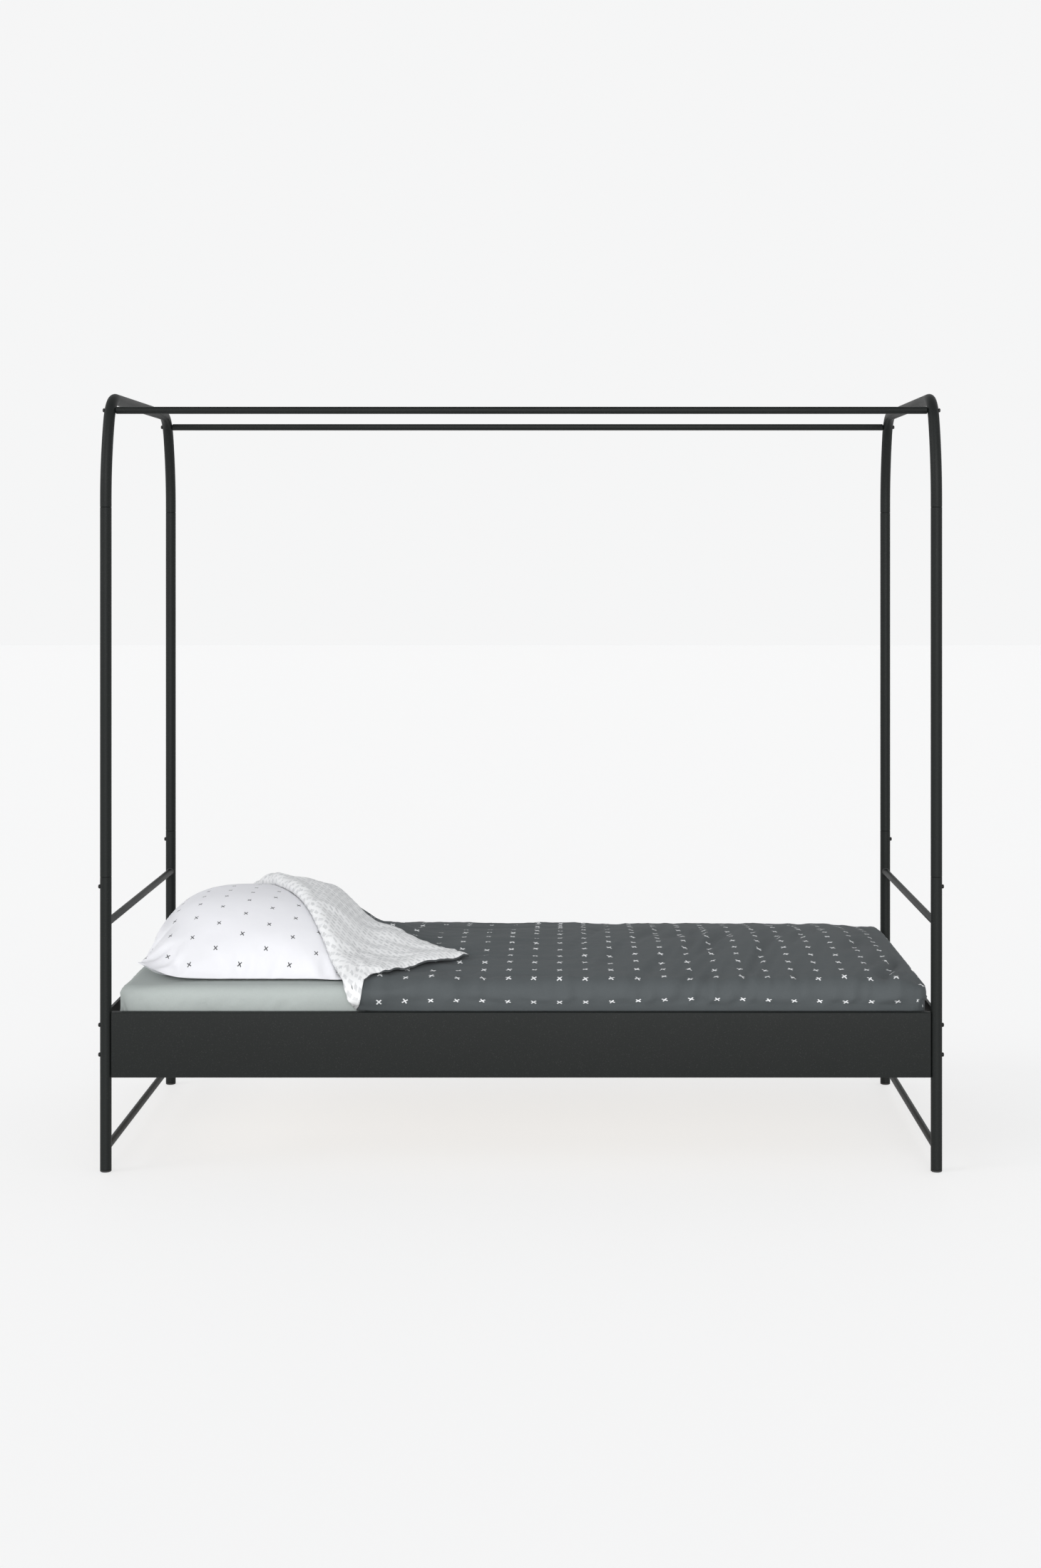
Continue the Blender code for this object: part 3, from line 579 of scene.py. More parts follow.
def endTube(level, end):
    name = f"{level}_end_tube_{end}"
    low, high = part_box(name)
    radius, x, z = (high.z - low.z) / 2, (low.x + high.x) / 2, (low.z + high.z) / 2
    postLow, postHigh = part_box(f"lower_post_{end}_back")
    postRadius, postY = (postHigh.x - postLow.x) / 2, (postLow.y + postHigh.y) / 2
    half = postY - postRadius + weld["sunk"]
    bm = turned([(0, -half), (radius, -half), (radius, half), (0, half)], tube["slimSides"],
                closed=False)
    bmesh.ops.transform(bm, verts=bm.verts, matrix=Matrix.Translation((x, 0, z))
                        @ Matrix.Rotation(quarter, 4, "X"))
    steelPiece(f"{level}EndTube_{end}", bm, name)
    for side, way in (("front", -1), ("back", 1)):  # the bead follows the post's round face
        ring = []
        for i in range(weld["around"] + 1):
            turn = 2 * math.pi * i / weld["around"]
            across, up = math.cos(turn), math.sin(turn)
            saddle = postRadius - math.sqrt(postRadius ** 2 - (radius * across) ** 2)
            place = Matrix.Translation((x + radius * across,
                                        way * (postY - postRadius + saddle), z + radius * up))
            swell = 1 + weld["uneven"] * math.sin(weld["lumps"] * turn + 2 * way)
            ring.append(place @ Matrix.Rotation(-turn, 4, "Y") @ Matrix.Scale(weld["bead"] * swell, 4))
        bead = makePiece(f"{level}Weld_{end}_{side}", swept(ring, weld["across"], loop=True),
                         finishes["weld"])
        settle(bead, "bed_frame", "frame_steel")


fold = {"wall": 0.0015, "round": 0.0022, "panelBlock": 0.008}


def foldedTray(name, node, inward, endBlock):
    low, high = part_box(node)
    bm = block(low, high)
    mouth = max(bm.faces, key=lambda face: face.calc_center_median().dot(inward))
    outer = [edge for edge in bm.edges if not any(vert in mouth.verts for vert in edge.verts)]
    bmesh.ops.inset_individual(bm, faces=[mouth], thickness=fold["wall"])
    along = Vector((1, 0, 0)) if abs(inward.y) else Vector((0, 1, 0))
    middle = mouth.calc_center_median()
    for vert in mouth.verts:
        vert.co -= along * math.copysign(endBlock - fold["wall"], (vert.co - middle).dot(along))
    depth = abs((high - low).dot(inward)) - fold["wall"]
    sunk = bmesh.ops.extrude_discrete_faces(bm, faces=[mouth])["faces"][0]
    bmesh.ops.translate(bm, vec=-inward * depth, verts=sunk.verts)
    rounded(bm, outer, fold["round"], 4)
    bmesh.ops.recalc_face_normals(bm, faces=bm.faces)
    steelPiece(name, bm, node, sharp=30)


boltForm = {"head": 0.00525, "rise": 0.0042, "skirt": 0.0009, "edge": 0.0003, "domeSteps": 6,
            "socket": 0.0019, "socketRim": 0.0006, "deep": 0.0022, "shank": 0.003,
            "shankLength": 0.010, "sides": 24, "stop": (9, 40)}


def boltMesh():  # a button head with a hexagon socket, seated at z = 0
    head, rise, socket = boltForm["head"], boltForm["rise"], boltForm["socket"]
    mouth, edge = socket + boltForm["socketRim"], boltForm["edge"]
    dome = []
    for i in range(boltForm["domeSteps"] + 1):
        turn = quarter * i / boltForm["domeSteps"]
        dome.append((mouth + (head - mouth) * math.cos(turn),
                     boltForm["skirt"] + (rise - boltForm["skirt"]) * math.sin(turn)))
    bm = turned([(0, -boltForm["shankLength"]), (boltForm["shank"], -boltForm["shankLength"]),
                 (boltForm["shank"], 0), (head - edge, 0), (head, edge), *dome],
                boltForm["sides"], closed=False)
    lid = bmesh.ops.holes_fill(bm, edges=bm.edges)["faces"][0]
    bmesh.ops.inset_individual(bm, faces=[lid], thickness=edge)
    for vert in lid.verts:
        turn = math.atan2(vert.co.y, vert.co.x)
        flat = (turn + math.pi / 6) % (math.pi / 3) - math.pi / 6
        vert.co.xy = Vector((math.cos(turn), math.sin(turn))) * socket / math.cos(flat)
    floor = bmesh.ops.extrude_discrete_faces(bm, faces=[lid])["faces"][0]
    bmesh.ops.translate(bm, vec=(0, 0, -boltForm["deep"]), verts=floor.verts)
    bmesh.ops.recalc_face_normals(bm, faces=bm.faces)
    return bm


def bolt(node):
    low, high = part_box(node)
    way = math.copysign(1, low.x)
    seat = (high.x if way > 0 else low.x) - way * boltForm["rise"]
    place = Matrix.Translation((seat, (low.y + high.y) / 2, (low.z + high.z) / 2))
    bm = boltMesh()
    byDepth, byHeight = boltForm["stop"]  # each socket has stopped at a turn of its own
    twist = Matrix.Rotation(low.z * byHeight + low.y * byDepth, 4, "Z")
    bmesh.ops.transform(bm, matrix=place @ Matrix.Rotation(way * quarter, 4, "Y") @ twist,
                        verts=bm.verts)
    settle(makePiece(f"button_{node}", bm, finishes["bolt"], sharp=30), "bed_frame", "bolt_steel",
           node)


plugForm = {"flange": 0.005, "round": 0.0025, "roundSteps": 6, "edge": 0.0004, "ribs": 4,
            "ribDepth": 0.0012, "ribShape": (0.55, 0.75, 0.85), "tipInset": 0.002}


def footPlug(corner):
    low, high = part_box(f"foot_plug_{corner}")
    radius = (high.x - low.x) / 2
    stem = radius - tube["wall"] - tube["spigotGap"]
    profile = [(0, low.z)]
    for i in range(plugForm["roundSteps"] + 1):
        turn = quarter * i / plugForm["roundSteps"]
        profile.append((radius - plugForm["round"] * (1 - math.sin(turn)),
                        low.z + plugForm["round"] * (1 - math.cos(turn))))
    edge = plugForm["edge"]
    profile += [(radius, plugForm["flange"] - edge), (radius - edge, plugForm["flange"])]
    z = plugForm["flange"]
    step, root = (high.z - z) / plugForm["ribs"], stem - plugForm["ribDepth"]
    widens, narrows, end = plugForm["ribShape"]
    for i in range(plugForm["ribs"]):  # gripping ribs inside the tube
        profile += [(root, z), (stem, z + step * widens), (stem, z + step * narrows),
                    (root, z + step * end)]
        z += step
    profile += [(stem - plugForm["tipInset"], high.z), (0, high.z)]
    bm = turned(profile, tube["sides"], closed=False)
    upright(bm, low, high)
    settle(makePiece(f"plug_{corner}", bm, finishes["plug"]), "bed_frame", "foot_plastic",
           f"foot_plug_{corner}")


slatForm = {"round": 0.0032, "segments": 3}


def slat(node):
    bm = block(*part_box(node))
    rounded(bm, bm.edges[:], slatForm["round"], slatForm["segments"])
    settle(makePiece(f"birch_{node}", bm, finishes["wood"]), "bed_frame", "slat_wood", node)


def makeFrame():
    for end in ("head", "foot"):
        canopyArch(end)
        for level in ("upper", "lower"):
            endTube(level, end)
        inward = 1 if end == "head" else -1
        foldedTray(f"endRail_{end}", f"end_rail_{end}", Vector((inward, 0, 0)), fold["wall"])
        for side in ("front", "back"):
            lowerPost(f"{end}_{side}")
            upperPost(f"{end}_{side}")
            footPlug(f"{end}_{side}")
    for side, inward in (("front", 1), ("back", -1)):
        canopyCrossbar(side)
        foldedTray(f"sidePanel_{side}", f"side_panel_{side}", Vector((0, inward, 0)), fold["panelBlock"])
    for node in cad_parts:
        if "_bolt_" in node:
            bolt(node)
        elif node.startswith("slat_ledge"):
            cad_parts[node].data.materials.clear()
            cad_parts[node].data.materials.append(finishes["coat"])
    for node in sorted(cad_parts):
        if node.startswith("slat_") and "ledge" not in node:
            slat(node)
    print("frame made")


mattressLow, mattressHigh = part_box("mattress")
sheetLow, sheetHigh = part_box("fitted_sheet")
pillowLow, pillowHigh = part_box("pillow")
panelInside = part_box("side_panel_back")[0].y

mattressForm = {"round": 0.022, "segments": 6, "piping": 0.0032, "pipingRise": 0.017,
                "pipingInset": 0.0005, "pipingSteps": 8, "pipingSides": 10}


def roundedLoop(halfX, halfY, corner, z, radius, steps):  # places for a cord round a rectangle
    places = []
    for i in range(4):
        center = Vector(((halfX - corner) * (1, -1, -1, 1)[i], (halfY - corner) * (1, 1, -1, -1)[i], z))
        for j in range(steps + 1):
            turn = quarter * (i + j / steps)
            point = center + corner * Vector((math.cos(turn), math.sin(turn), 0))
            places.append(Matrix.Translation(point) @ Matrix.Rotation(turn, 4, "Z")
                          @ Matrix.Rotation(quarter, 4, "X") @ Matrix.Scale(radius, 4))
    return places + [places[0]]


def makeMattress():
    form = mattressForm
    bm = block(mattressLow, mattressHigh)
    rounded(bm, bm.edges[:], form["round"], form["segments"])
    piece = makePiece("foamMattress", bm, finishes["ticking"])
    settle(piece, "mattress", "mattress_ticking", "mattress")
    half, inset = (mattressHigh - mattressLow) / 2, form["pipingInset"]
    loop = roundedLoop(half.x - inset, half.y - inset, form["round"],
                       mattressLow.z + form["pipingRise"], form["piping"], form["pipingSteps"])
    piping = makePiece("mattressPiping", swept(loop, form["pipingSides"], loop=True),
                       finishes["ticking"])
    settle(piping, "mattress", "mattress_ticking")


edgeForm = {"cornerPower": 4, "tightOver": 0.028}  # how square a corner is, how soon a cloth is pressed


def overEdge(x, y, rise, lay):  # where a cloth's flat point goes, at a rise above what it covers
    beyondX = math.copysign(max(abs(x) - lay["flatX"], 0), x) if x > 0 or lay["bothEnds"] else 0
    beyondY = math.copysign(max(abs(y) - lay["flatY"], 0), y)
    beyond, power = math.hypot(beyondX, beyondY), edgeForm["cornerPower"]
    nearX, nearY = x - beyondX, y - beyondY
    top = lay["height"](nearX, nearY)
    if not beyond:
        return Vector((x, y, top + rise))
    travel = (beyondX ** power + beyondY ** power) ** (1 / power)
    turn = min(travel / lay["bend"], quarter)
    fall = max(travel - lay["bend"] * quarter, 0) * lay["bunch"](nearX)
    tightness = (lay["tight"](nearX) - 1) * eased(fall, 0, edgeForm["tightOver"])
    footward = (beyondX / beyond) ** 2
    reach = min(lay["radius"] + rise * (1 + tightness),
                lay["reach"][0] * footward + lay["reach"][1] * (1 - footward))
    level = top + (lay["edge"] - top) * smoothStep(turn / quarter)
    return Vector((nearX + beyondX / beyond * reach * math.sin(turn),
                   nearY + beyondY / beyond * reach * math.sin(turn),
                   level - lay["radius"] + reach * math.cos(turn) - fall))


def clothGrid(low, high, cell):
    size = high - low
    bm = bmesh.new()
    bmesh.ops.create_grid(bm, x_segments=round(size.x / cell), y_segments=round(size.y / cell), size=0.5)
    bmesh.ops.scale(bm, vec=(size.x, size.y, 1), verts=bm.verts)
    upright(bm, low, high)
    return bm


def writeCloth(bm, flatOf):  # keeps the cloth's own flat coordinates as its UV map
    layer = bm.loops.layers.uv.new("cloth")
    for face in bm.faces:
        for loop in face.loops:
            loop[layer].uv = flatOf(loop.vert)


sheetForm = {
    "thick": 0.0012, "cell": 0.010, "reach": 0.03, "crease": 0.0024, "broad": (1.0, 14, 14, 1.5),
    "fine": (0.5, 40, 9, 4.0), "slant": 0.55, "pull": (0, 0.03), "nearCorner": (-0.02, 0.10),
    "gather": (0, 0.05), "gathers": (1.6, 60, 60, 8.0), "covered": (-0.14, 0.08), "pressed": 0.9,
}


def makeSheet():
    form = sheetForm
    radius = mattressForm["round"] + mattressLow.y - sheetLow.y
    flat = Vector((mattressHigh.x - mattressForm["round"], mattressHigh.y - mattressForm["round"]))
    drop = sheetHigh.z - radius - sheetLow.z
    half = flat + Vector((1, 1)) * (radius * quarter + drop)
    lay = {"flatX": flat.x, "flatY": flat.y, "bothEnds": True, "height": lambda x, y: sheetHigh.z,
           "radius": radius, "bend": radius, "edge": sheetHigh.z, "reach": (form["reach"],) * 2,
           "bunch": lambda x: 1.0, "tight": lambda x: 1.0}
    bm = clothGrid(-half, half, form["cell"])
    writeCloth(bm, lambda vert: vert.co.xy)
    for vert in bm.verts:
        x, y = vert.co.xy
        out = max(abs(x) - flat.x, abs(y) - flat.y, 0)
        swell = 0.5 + wave(form["broad"], x, y) + wave(form["fine"], x + y * form["slant"], y)
        swell *= eased(out, *form["pull"])
        inside = eased(flat.x - abs(x), *form["nearCorner"]) * eased(flat.y - abs(y), *form["nearCorner"])
        swell += (1 - inside) * eased(out, *form["gather"]) * (1 + wave(form["gathers"], x, y))
        covered = eased(x - foldPoint.x, *form["covered"])
        vert.co = overEdge(x, y, form["crease"] * max(swell, 0) * (1 - form["pressed"] * covered), lay)
    bmesh.ops.recalc_face_normals(bm, faces=bm.faces)
    piece = makePiece("cottonSheet", bm, finishes["sheet"], sharp=80)
    wall = piece.modifiers.new("cloth", "SOLIDIFY")
    wall.thickness = form["thick"]
    wall.offset = -1
    settle(piece, "mattress", "sheet_cotton", "fitted_sheet")
    print("mattress and sheet made")


pillowForm = {
    "cell": 0.0085, "case": 0.0015, "clear": 0.0004, "grow": 0.028, "pressure": 2.2, "frames": 16,
    "risen": 0.6, "farthest": 0.016, "waist": 0.010, "waistPower": 5, "blunt": 0.012, "bluntPower": 6,
    "seamFront": 0.007, "seamBack": 0.074, "seamRise": (-1, 1.1), "seamFade": (-0.2, 1.0),
    "seamEase": 0.85, "tip": 0.037, "tipReach": 0.27, "sole": 0.72, "headPower": 3.1,
    "footPower": 3.9, "power": 2.5, "slope": 0.16, "peak": -0.3, "loft": 0.178,
    "corner": (0.35, 0.5), "fan": 0.020, "fanFrom": 0.4, "fanRays": 7, "fanRings": 3,
    "lumps": (0.003, 8, 8, 3.0),
}


def pillowShare(x, y):
    center, half = (pillowLow + pillowHigh) / 2, (pillowHigh - pillowLow) / 2
    return (x - center.x) / half.x, (y - center.y) / half.y


def pillowCrown(u, v):  # fuller towards the head end
    power = pillowForm["headPower"] if u < 0 else pillowForm["footPower"]
    lean = 1 - pillowForm["slope"] * (u - pillowForm["peak"])
    return max(1 - abs(u) ** power, 0) * max(1 - abs(v) ** pillowForm["power"], 0) * lean


def pillowSeam(u, v):  # the seam lies low in front, and the near corner lifts
    form = pillowForm
    back = eased(v, *form["seamRise"]) * (1 - form["seamEase"] * eased(u, *form["seamFade"]))
    seam = form["seamFront"] + (form["seamBack"] - form["seamFront"]) * back
    return seam + form["tip"] * math.exp(-((u + 1) ** 2 + (v + 1) ** 2) / form["tipReach"] ** 2)


def pillowTop(u, v):
    seam = pillowSeam(u, v)
    return seam + (pillowForm["loft"] - seam) * pillowCrown(u, v)


def fillCloth(piece, sole):  # the case is a little too big for its filling, so it wrinkles
    still = piece.vertex_groups.new(name="still")
    still.add(sole, 1, "REPLACE")
    cloth = piece.modifiers.new("fill", "CLOTH")
    settings = cloth.settings
    settings.vertex_group_mass = "still"
    settings.quality = 5
    settings.mass = 0.2
    settings.shrink_min = -pillowForm["grow"]
    settings.tension_stiffness = settings.compression_stiffness = 20
    settings.shear_stiffness = 10
    settings.bending_stiffness = 0.15
    settings.tension_damping = settings.compression_damping = 10
    settings.use_pressure = True
    settings.uniform_pressure_force = pillowForm["pressure"]
    settings.effector_weights.gravity = 0
    cloth.point_cache.frame_start = 1
    cloth.point_cache.frame_end = pillowForm["frames"]
    for step in range(1, pillowForm["frames"] + 1):
        scene.frame_set(step)
    dg = bpy.context.evaluated_depsgraph_get()
    shaped = bpy.data.meshes.new_from_object(piece.evaluated_get(dg), depsgraph=dg)
    start = [vert.co.copy() for vert in piece.data.vertices]
    piece.modifiers.clear()
    piece.vertex_groups.clear()
    piece.data = shaped
    scene.frame_set(1)
    for vert, rest in zip(shaped.vertices, start):  # no point strays far
        moved = vert.co - rest
        moved.z = moved.z if moved.z < 0 else moved.z * pillowForm["risen"]
        vert.co = rest + moved * min(1, pillowForm["farthest"] / max(moved.length, sameSpot))


def cornerFan(u, v):  # creases that spread from each corner
    form, near = pillowForm, max(abs(u), abs(v))
    angle = math.atan2(abs(v) - form["fanFrom"], abs(u) - form["fanFrom"])
    fan = ripple(angle * form["fanRays"], near * form["fanRings"], 2.0 + (u > 0) + 2 * (v > 0))
    return form["fan"] * eased(abs(u * v), *form["corner"]) * fan * (1 - near ** 12)


def makePillow():
    form, size, center = pillowForm, pillowHigh - pillowLow, (pillowLow + pillowHigh) / 2
    half = Vector((size.x, size.y)) / 2
    bm = clothGrid(-half, half, form["cell"])
    upper = bm.verts.layers.int.new("upper")
    grown = kind(bmesh.ops.extrude_face_region(bm, geom=bm.faces[:])["geom"], bmesh.types.BMVert)
    for vert in grown:
        vert[upper] = 1
    writeCloth(bm, lambda vert: vert.co.xy)
    for vert in bm.verts:
        u, v = vert.co.x / half.x, vert.co.y / half.y
        blunt = form["blunt"] * (u * v) ** form["bluntPower"]
        x = center.x + half.x * u - form["waist"] * (1 - v * v) * u ** form["waistPower"] - blunt * u
        y = center.y + half.y * v - form["waist"] * (1 - u * u) * v ** form["waistPower"] - blunt * v
        near = max(abs(u), abs(v))
        if vert[upper]:
            rise = pillowTop(u, v) + form["case"] + cornerFan(u, v) + wave(form["lumps"], x, y)
        else:
            rise = pillowSeam(u, v) * eased(near, form["sole"], 1 - form["sole"]) - form["case"]
        vert.co = (x, y, pillowLow.z + max(rise, form["clear"]))
    bmesh.ops.recalc_face_normals(bm, faces=bm.faces)
    bm.verts.index_update()
    sole = [vert.index for vert in bm.verts if not vert[upper]]
    piece = makePiece("crossPillow", bm, finishes["pillow"], sharp=80)
    fillCloth(piece, sole)
    for vert in piece.data.vertices:
        ceiling = duvetCeiling(vert.co.x, vert.co.y)
        vert.co.z = max(min(vert.co.z, ceiling), pillowLow.z + form["clear"])
    smooth = piece.modifiers.new("smooth", "SUBSURF")
    smooth.levels = smooth.render_levels = 1
    settle(piece, "pillow", "pillow_cotton", "pillow")
    print("pillow made")


duvetForm = {
    "cell": 0.009, "edge": 0.010, "crown": 0.041, "crownHalf": 0.5, "crownPower": 1.7, "thin": 0.017,
    "plumpOver": (-0.04, 0.22), "footTaper": 0.6, "taperOver": (0.80, 0.19), "hem": 0.195,
    "overhang": 0.1935, "foldOverhang": 0.082, "puffEdge": 0.040, "hemShare": 0.3,
    "pucker": (0.0030, 60, 60, 20.0), "deepest": 0.5, "bunch": 0.55, "tuckOver": (0.02, 0.26),
    "panelGap": 0.0030, "stackGap": 0.006, "tightOver": (0.10, 0.10), "calm": 0.9,
    "calmOver": (0.055, 0.03), "footReach": 1.0065, "sideReach": 0.466,
    "printDrift": (0.006, 0.022), "drifts": (1, 2.2, 1, 30.0),
}
bridgeForm = {"clear": 0.001, "overPillow": 0.002, "ramp": (0.060, 0.130), "rim": (0.014, 0.048),
              "front": (-0.34, 0.22), "back": (0.06, 0.20), "soften": 0.022, "margin": 0.03,
              "pillowGap": 0.002, "pillowRoom": 0.02}
foldForm = {
    "start": 0.570, "head": 0.26, "side": 0.6625, "roll": 0.0105, "skew": 0.063, "skewOver": (0.10, 0.25),
    "tail": 0.026, "tailOver": (0.03, 0.07), "tailAlong": (-0.05, 0.10), "gap": 0.0012,
    "hemLift": 0.005, "layDown": 0.06, "creaseOver": 0.02, "lines": (0.0040, 9, 26, 15.0),
    "broad": (0.0065, 8, 10, 14.0), "atFold": (0.0034, 24, 7, 18.0), "atFoldOver": 0.16,
    "hemWaves": (0.0045, 34, 0, 23.0),
}
foldPoint = Vector((mattressLow.x + foldForm["start"], mattressLow.y))
foldHead = Vector((mattressLow.x + foldForm["head"], mattressLow.y + foldForm["side"]))
foldWay = (foldHead - foldPoint).normalized()
foldAcross = Vector((foldWay.y, -foldWay.x))  # from the fold towards the foot


def restHeight(x, y):  # what the duvet lies on, before it bridges the hollows
    form = bridgeForm
    u, v = pillowShare(x, y)
    ground = sheetHigh.z + form["clear"]
    half = (pillowHigh - pillowLow) / 2
    nearU, nearV = min(max(u, -1), 1), min(max(v, -1), 1)
    middle = eased(y, *form["front"]) * (1 - eased(y, *form["back"]))
    ramp, rim = [a + (b - a) * middle for a, b in (form["ramp"], form["rim"])]
    beyond = math.hypot((u - nearU) * half.x, (v - nearV) * half.y)
    over = pillowLow.z + max(pillowTop(nearU, nearV), rim) + form["overPillow"]
    return ground + (over - ground) * (1 - smoothStep(beyond / ramp))


def softHeight(x, y):
    step = bridgeForm["soften"]
    total = sum(restHeight(x + i * step, y + j * step) for i in (-1, 0, 1) for j in (-1, 0, 1))
    return max(total / 9, sheetHigh.z + bridgeForm["clear"])


def duvetCeiling(x, y):  # the pillow stays under the duvet where the duvet covers it
    margin = bridgeForm["margin"]
    uncovered = mattressLow.x + duvetForm["hem"] - x
    across = (Vector((x, y)) - foldPoint).dot(foldAcross)
    if uncovered > margin or across < -margin:
        return math.inf
    room = smoothStep(-across / margin) + smoothStep(uncovered / margin)
    return softHeight(x, y) - bridgeForm["pillowGap"] + bridgeForm["pillowRoom"] * room


wrinkleForm = {
    "slant": (0.25, 0.97), "footHalf": (-0.05, 0.45), "broad": (0.0050, 2.6, 3.0, 5.0),
    "middle": (0.0030, 6.5, 7.0, 9.0), "slanting": (0.0105, 3.0, 21, 3.0), "calmBack": 0.75,
    "backOver": (0.1, 0.2), "lengthwise": (0.0058, 6.0, 22, 12.0), "sideOver": (0.33, 0.10),
    "footOver": (0.85, 0.10), "halfWidth": 0.45, "pleat": 0.0075, "pleats": (34, 7, 4),
    "pleatDrift": (3, 5, 0, 2.0), "fine": (0.0006, 70, 70, 11.0),
}


def wrinkles(x, y):  # ridges and dips of the duvet's upper side
    form = wrinkleForm
    sine, cosine = form["slant"]
    footHalf = eased(x, *form["footHalf"])
    swell = wave(form["broad"], x, y) + wave(form["middle"], x, y)
    swell += (ridge(form["slanting"], x * sine + y * cosine, x * cosine - y * sine) * footHalf
              * (1 - form["calmBack"] * eased(y, *form["backOver"])))
    swell += ridge(form["lengthwise"], x, y) * (1 - footHalf)
    rim = eased(-y, *form["sideOver"]) + eased(x, *form["footOver"]) * abs(y) / form["halfWidth"]
    down, sideways, slope = form["pleats"]
    pleat = ripple(x * down + wave(form["pleatDrift"], x, 0), y * sideways + x * slope, 7.0)
    return swell + form["pleat"] * min(rim, 1) * pleat + wave(form["fine"], x, y)


def foldCreases(along, across, plump):  # the creases of the folded corner
    form = foldForm
    swell = ridge(form["lines"], along, across) + wave(form["broad"], along, across)
    swell += (wave(form["atFold"], along, across)
              * eased(across, -form["atFoldOver"], form["atFoldOver"]))
    swell *= smoothStep(-across / form["creaseOver"])
    return swell + wave(form["hemWaves"], along + across, 0) * (1 - plump)


def filling(x, y):  # how thick the duvet stands: thin over the pillow, thinner to the foot
    form = duvetForm
    arch = max(1 - (y / form["crownHalf"]) ** 2, 0) ** form["crownPower"]
    full = form["edge"] + form["crown"] * arch
    full = form["thin"] + (full - form["thin"]) * eased(x - foldPoint.x, *form["plumpOver"])
    return full * (1 - form["footTaper"] * eased(x, *form["taperOver"]))


def plumpness(hemGap):  # the filling rounds off towards the hem
    near = 1 - min(max(hemGap, 0) / duvetForm["puffEdge"], 1)
    return math.sqrt(1 - near * near)


def tuckShare(x):  # how much of the duvet is tucked in front, less beside the fold
    return eased(x - foldPoint.x, *duvetForm["tuckOver"])


def duvetPoint(x, y, layer, lay):  # layer is -1 on the reverse side and 1 on the printed side
    form = duvetForm
    hemY = form["foldOverhang"] + (form["overhang"] - form["foldOverhang"]) * tuckShare(x)
    frontGap = lay["flatY"] + hemY + y if y < 0 else 1.0
    plump = plumpness(min(x - lay["hemX"], lay["endX"] - x, frontGap))
    own = filling(x, y) * (form["hemShare"] + (1 - form["hemShare"]) * plump)
    side = layer * own / 2
    flat = Vector((x, y)) - foldPoint
    along, across = flat.dot(foldWay), flat.dot(foldAcross)
    pucker = (1 - plump) * wave(form["pucker"], x, y)
    if across >= 0:
        spot, rise = Vector((x, y)), own / 2 + side + max(layer, 0) * pucker
        lift = min(rise / own, 1)
        crease = 0
    else:
        roll = foldForm["roll"]
        turn = min(-across / roll, math.pi)
        reach = roll - side
        beyond = max(-across - math.pi * roll, 0)
        tailFrom, tailOver = foldForm["tailOver"]
        tail = min(beyond / tailFrom, 1) * (1 - eased(beyond, tailFrom, tailOver))
        skew = foldForm["skew"] * eased(beyond, *foldForm["skewOver"])
        skew -= foldForm["tail"] * tail * (1 - eased(along, *foldForm["tailAlong"]))
        spot = foldPoint + foldWay * (along - skew) + foldAcross * (beyond - reach * math.sin(turn))
        rise = filling(*foldPoint) / 2 + roll - reach * math.cos(turn)
        rest = filling(spot.x, spot.y) + own / 2 - side + foldForm["gap"]
        rest += pucker + foldForm["hemLift"] * (1 - plump)
        rise += (rest - rise) * smoothStep(beyond / foldForm["layDown"])
        lift = 1 if beyond else turn / math.pi + (1 - turn / math.pi) * min(rise / own, 1)
        crease = foldCreases(along, across, plump)
    swell = lift * (wrinkles(spot.x, spot.y) + crease) * lay["calm"](spot)
    return overEdge(spot.x, spot.y, rise + max(swell, -form["deepest"] * rise), lay)


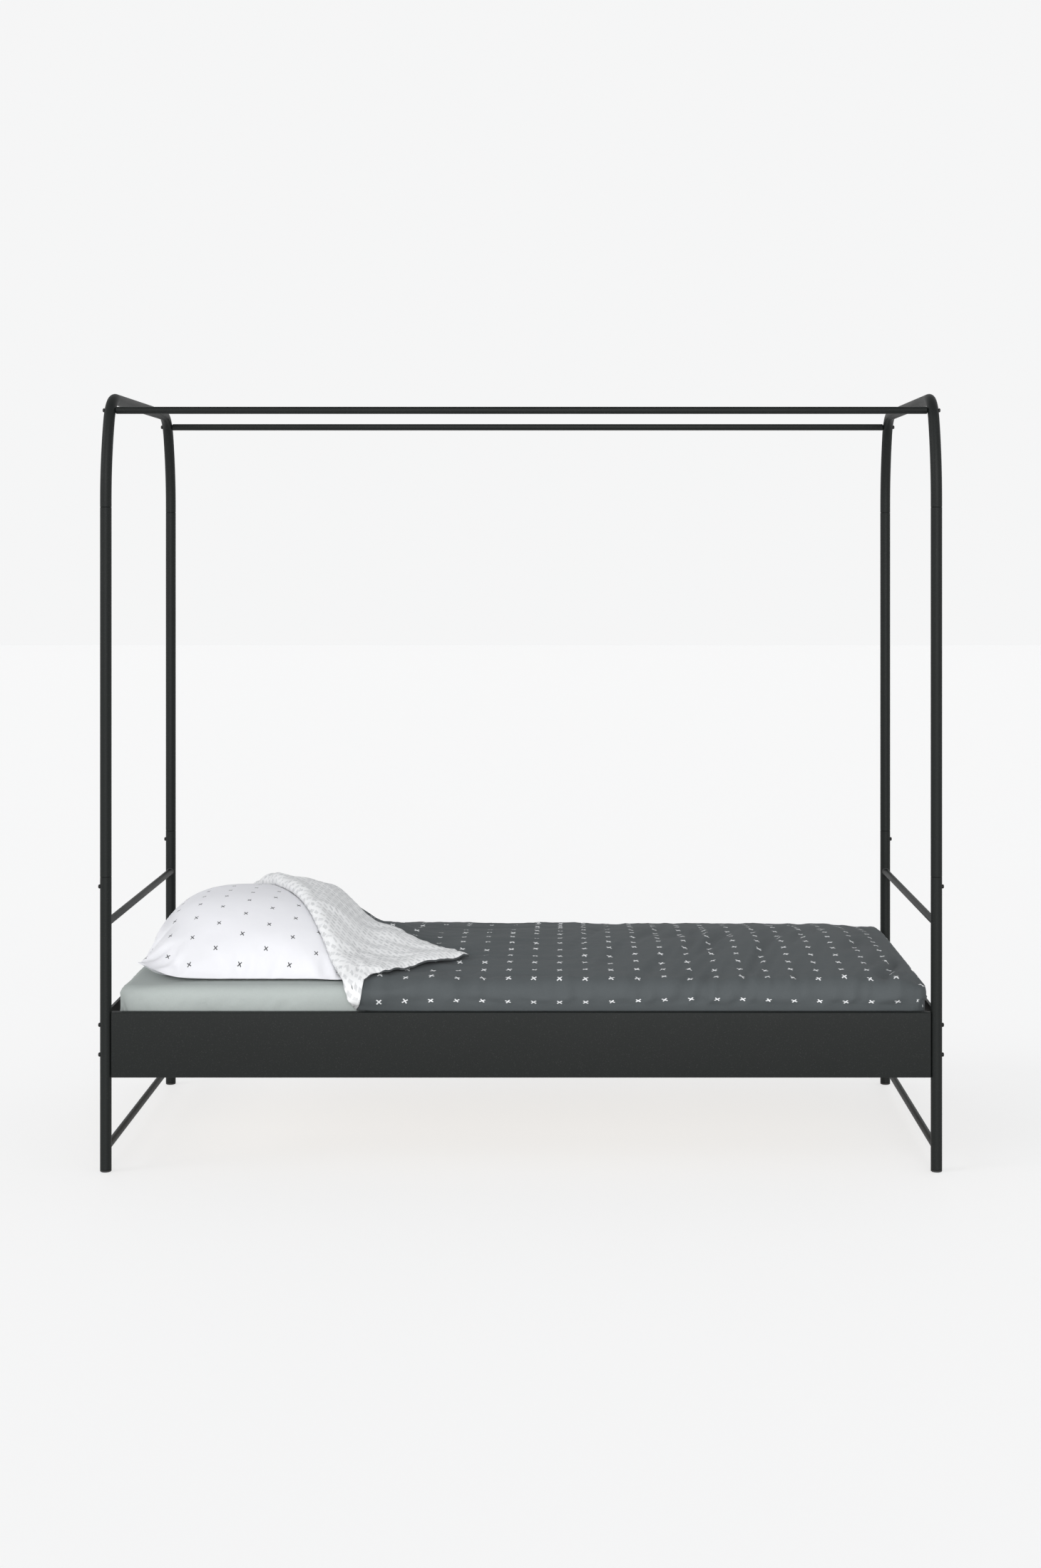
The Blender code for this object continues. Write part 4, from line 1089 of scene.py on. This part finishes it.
def makeDuvet():
    form = duvetForm
    radius = mattressForm["round"] + mattressLow.y - sheetLow.y + bridgeForm["clear"]
    flat = Vector((mattressHigh.x - mattressForm["round"], mattressHigh.y - mattressForm["round"]))
    room = panelInside - flat.y - radius - form["panelGap"]
    stack = form["thin"] + 2 * foldForm["roll"] + form["stackGap"]

    def tight(x):  # the folded part shares the room beside the mattress
        layers = stack + (form["edge"] - stack) * eased(x - foldPoint.x, *form["tightOver"])
        return min(room / layers, 1)

    def bunch(x):  # tucked cloth lies in pleats
        return 1 + (form["bunch"] - 1) * tuckShare(x)

    def calm(spot):  # the wrinkles die away in the tucked part
        out = max(abs(spot.y) - flat.y, spot.x - flat.x, 0)
        return 1 - form["calm"] * eased(out, *form["calmOver"])

    lay = {"flatX": flat.x, "flatY": flat.y, "bothEnds": False, "height": softHeight,
           "reach": (form["footReach"] - flat.x, form["sideReach"] - flat.y),
           "radius": radius, "bend": radius + form["edge"] / 2, "bunch": bunch,
           "edge": sheetHigh.z + bridgeForm["clear"], "tight": tight, "calm": calm,
           "hemX": mattressLow.x + form["hem"], "endX": flat.x + form["overhang"]}
    endY = flat.y + form["overhang"]
    bm = clothGrid(Vector((lay["hemX"], -endY)), Vector((lay["endX"], endY)), form["cell"])
    for vert in bm.verts:
        if vert.co.y < -flat.y:
            less = 1 - form["foldOverhang"] / form["overhang"]
            vert.co.y += (-flat.y - vert.co.y) * less * (1 - tuckShare(vert.co.x))
    upper = bm.verts.layers.int.new("upper")
    under = set(bm.faces)
    grown = bmesh.ops.extrude_face_region(bm, geom=bm.faces[:])["geom"]
    for vert in kind(grown, bmesh.types.BMVert):
        vert[upper] = 1
    printed = set(kind(grown, bmesh.types.BMFace))
    for face in bm.faces:
        face.material_index = 0 if face in printed else 1 if face in under else 2
    drift = Vector(form["printDrift"])
    writeCloth(bm, lambda vert: vert.co.xy + drift * wave(form["drifts"], vert.co.x, vert.co.y))
    for vert in bm.verts:
        vert.co = duvetPoint(vert.co.x, vert.co.y, 1 if vert[upper] else -1, lay)
    bmesh.ops.recalc_face_normals(bm, faces=bm.faces)
    piece = makePiece("foldedDuvet", bm, finishes["duvet"], finishes["reverse"], finishes["hem"],
                      sharp=80)
    settle(piece, "duvet", "duvet_cotton", "duvet")
    print("duvet made")


setWorld()
softSun("frontLight")
softSun("sideLight")
scene.view_settings.view_transform = "Standard"

floor = bmesh.new()
bmesh.ops.create_grid(floor, x_segments=1, y_segments=1, size=studio["floorSize"] / 2)
makePiece("studioFloor", floor, finishes["floor"])

makeFrame()
makeMattress()
makeSheet()
makePillow()
makeDuvet()
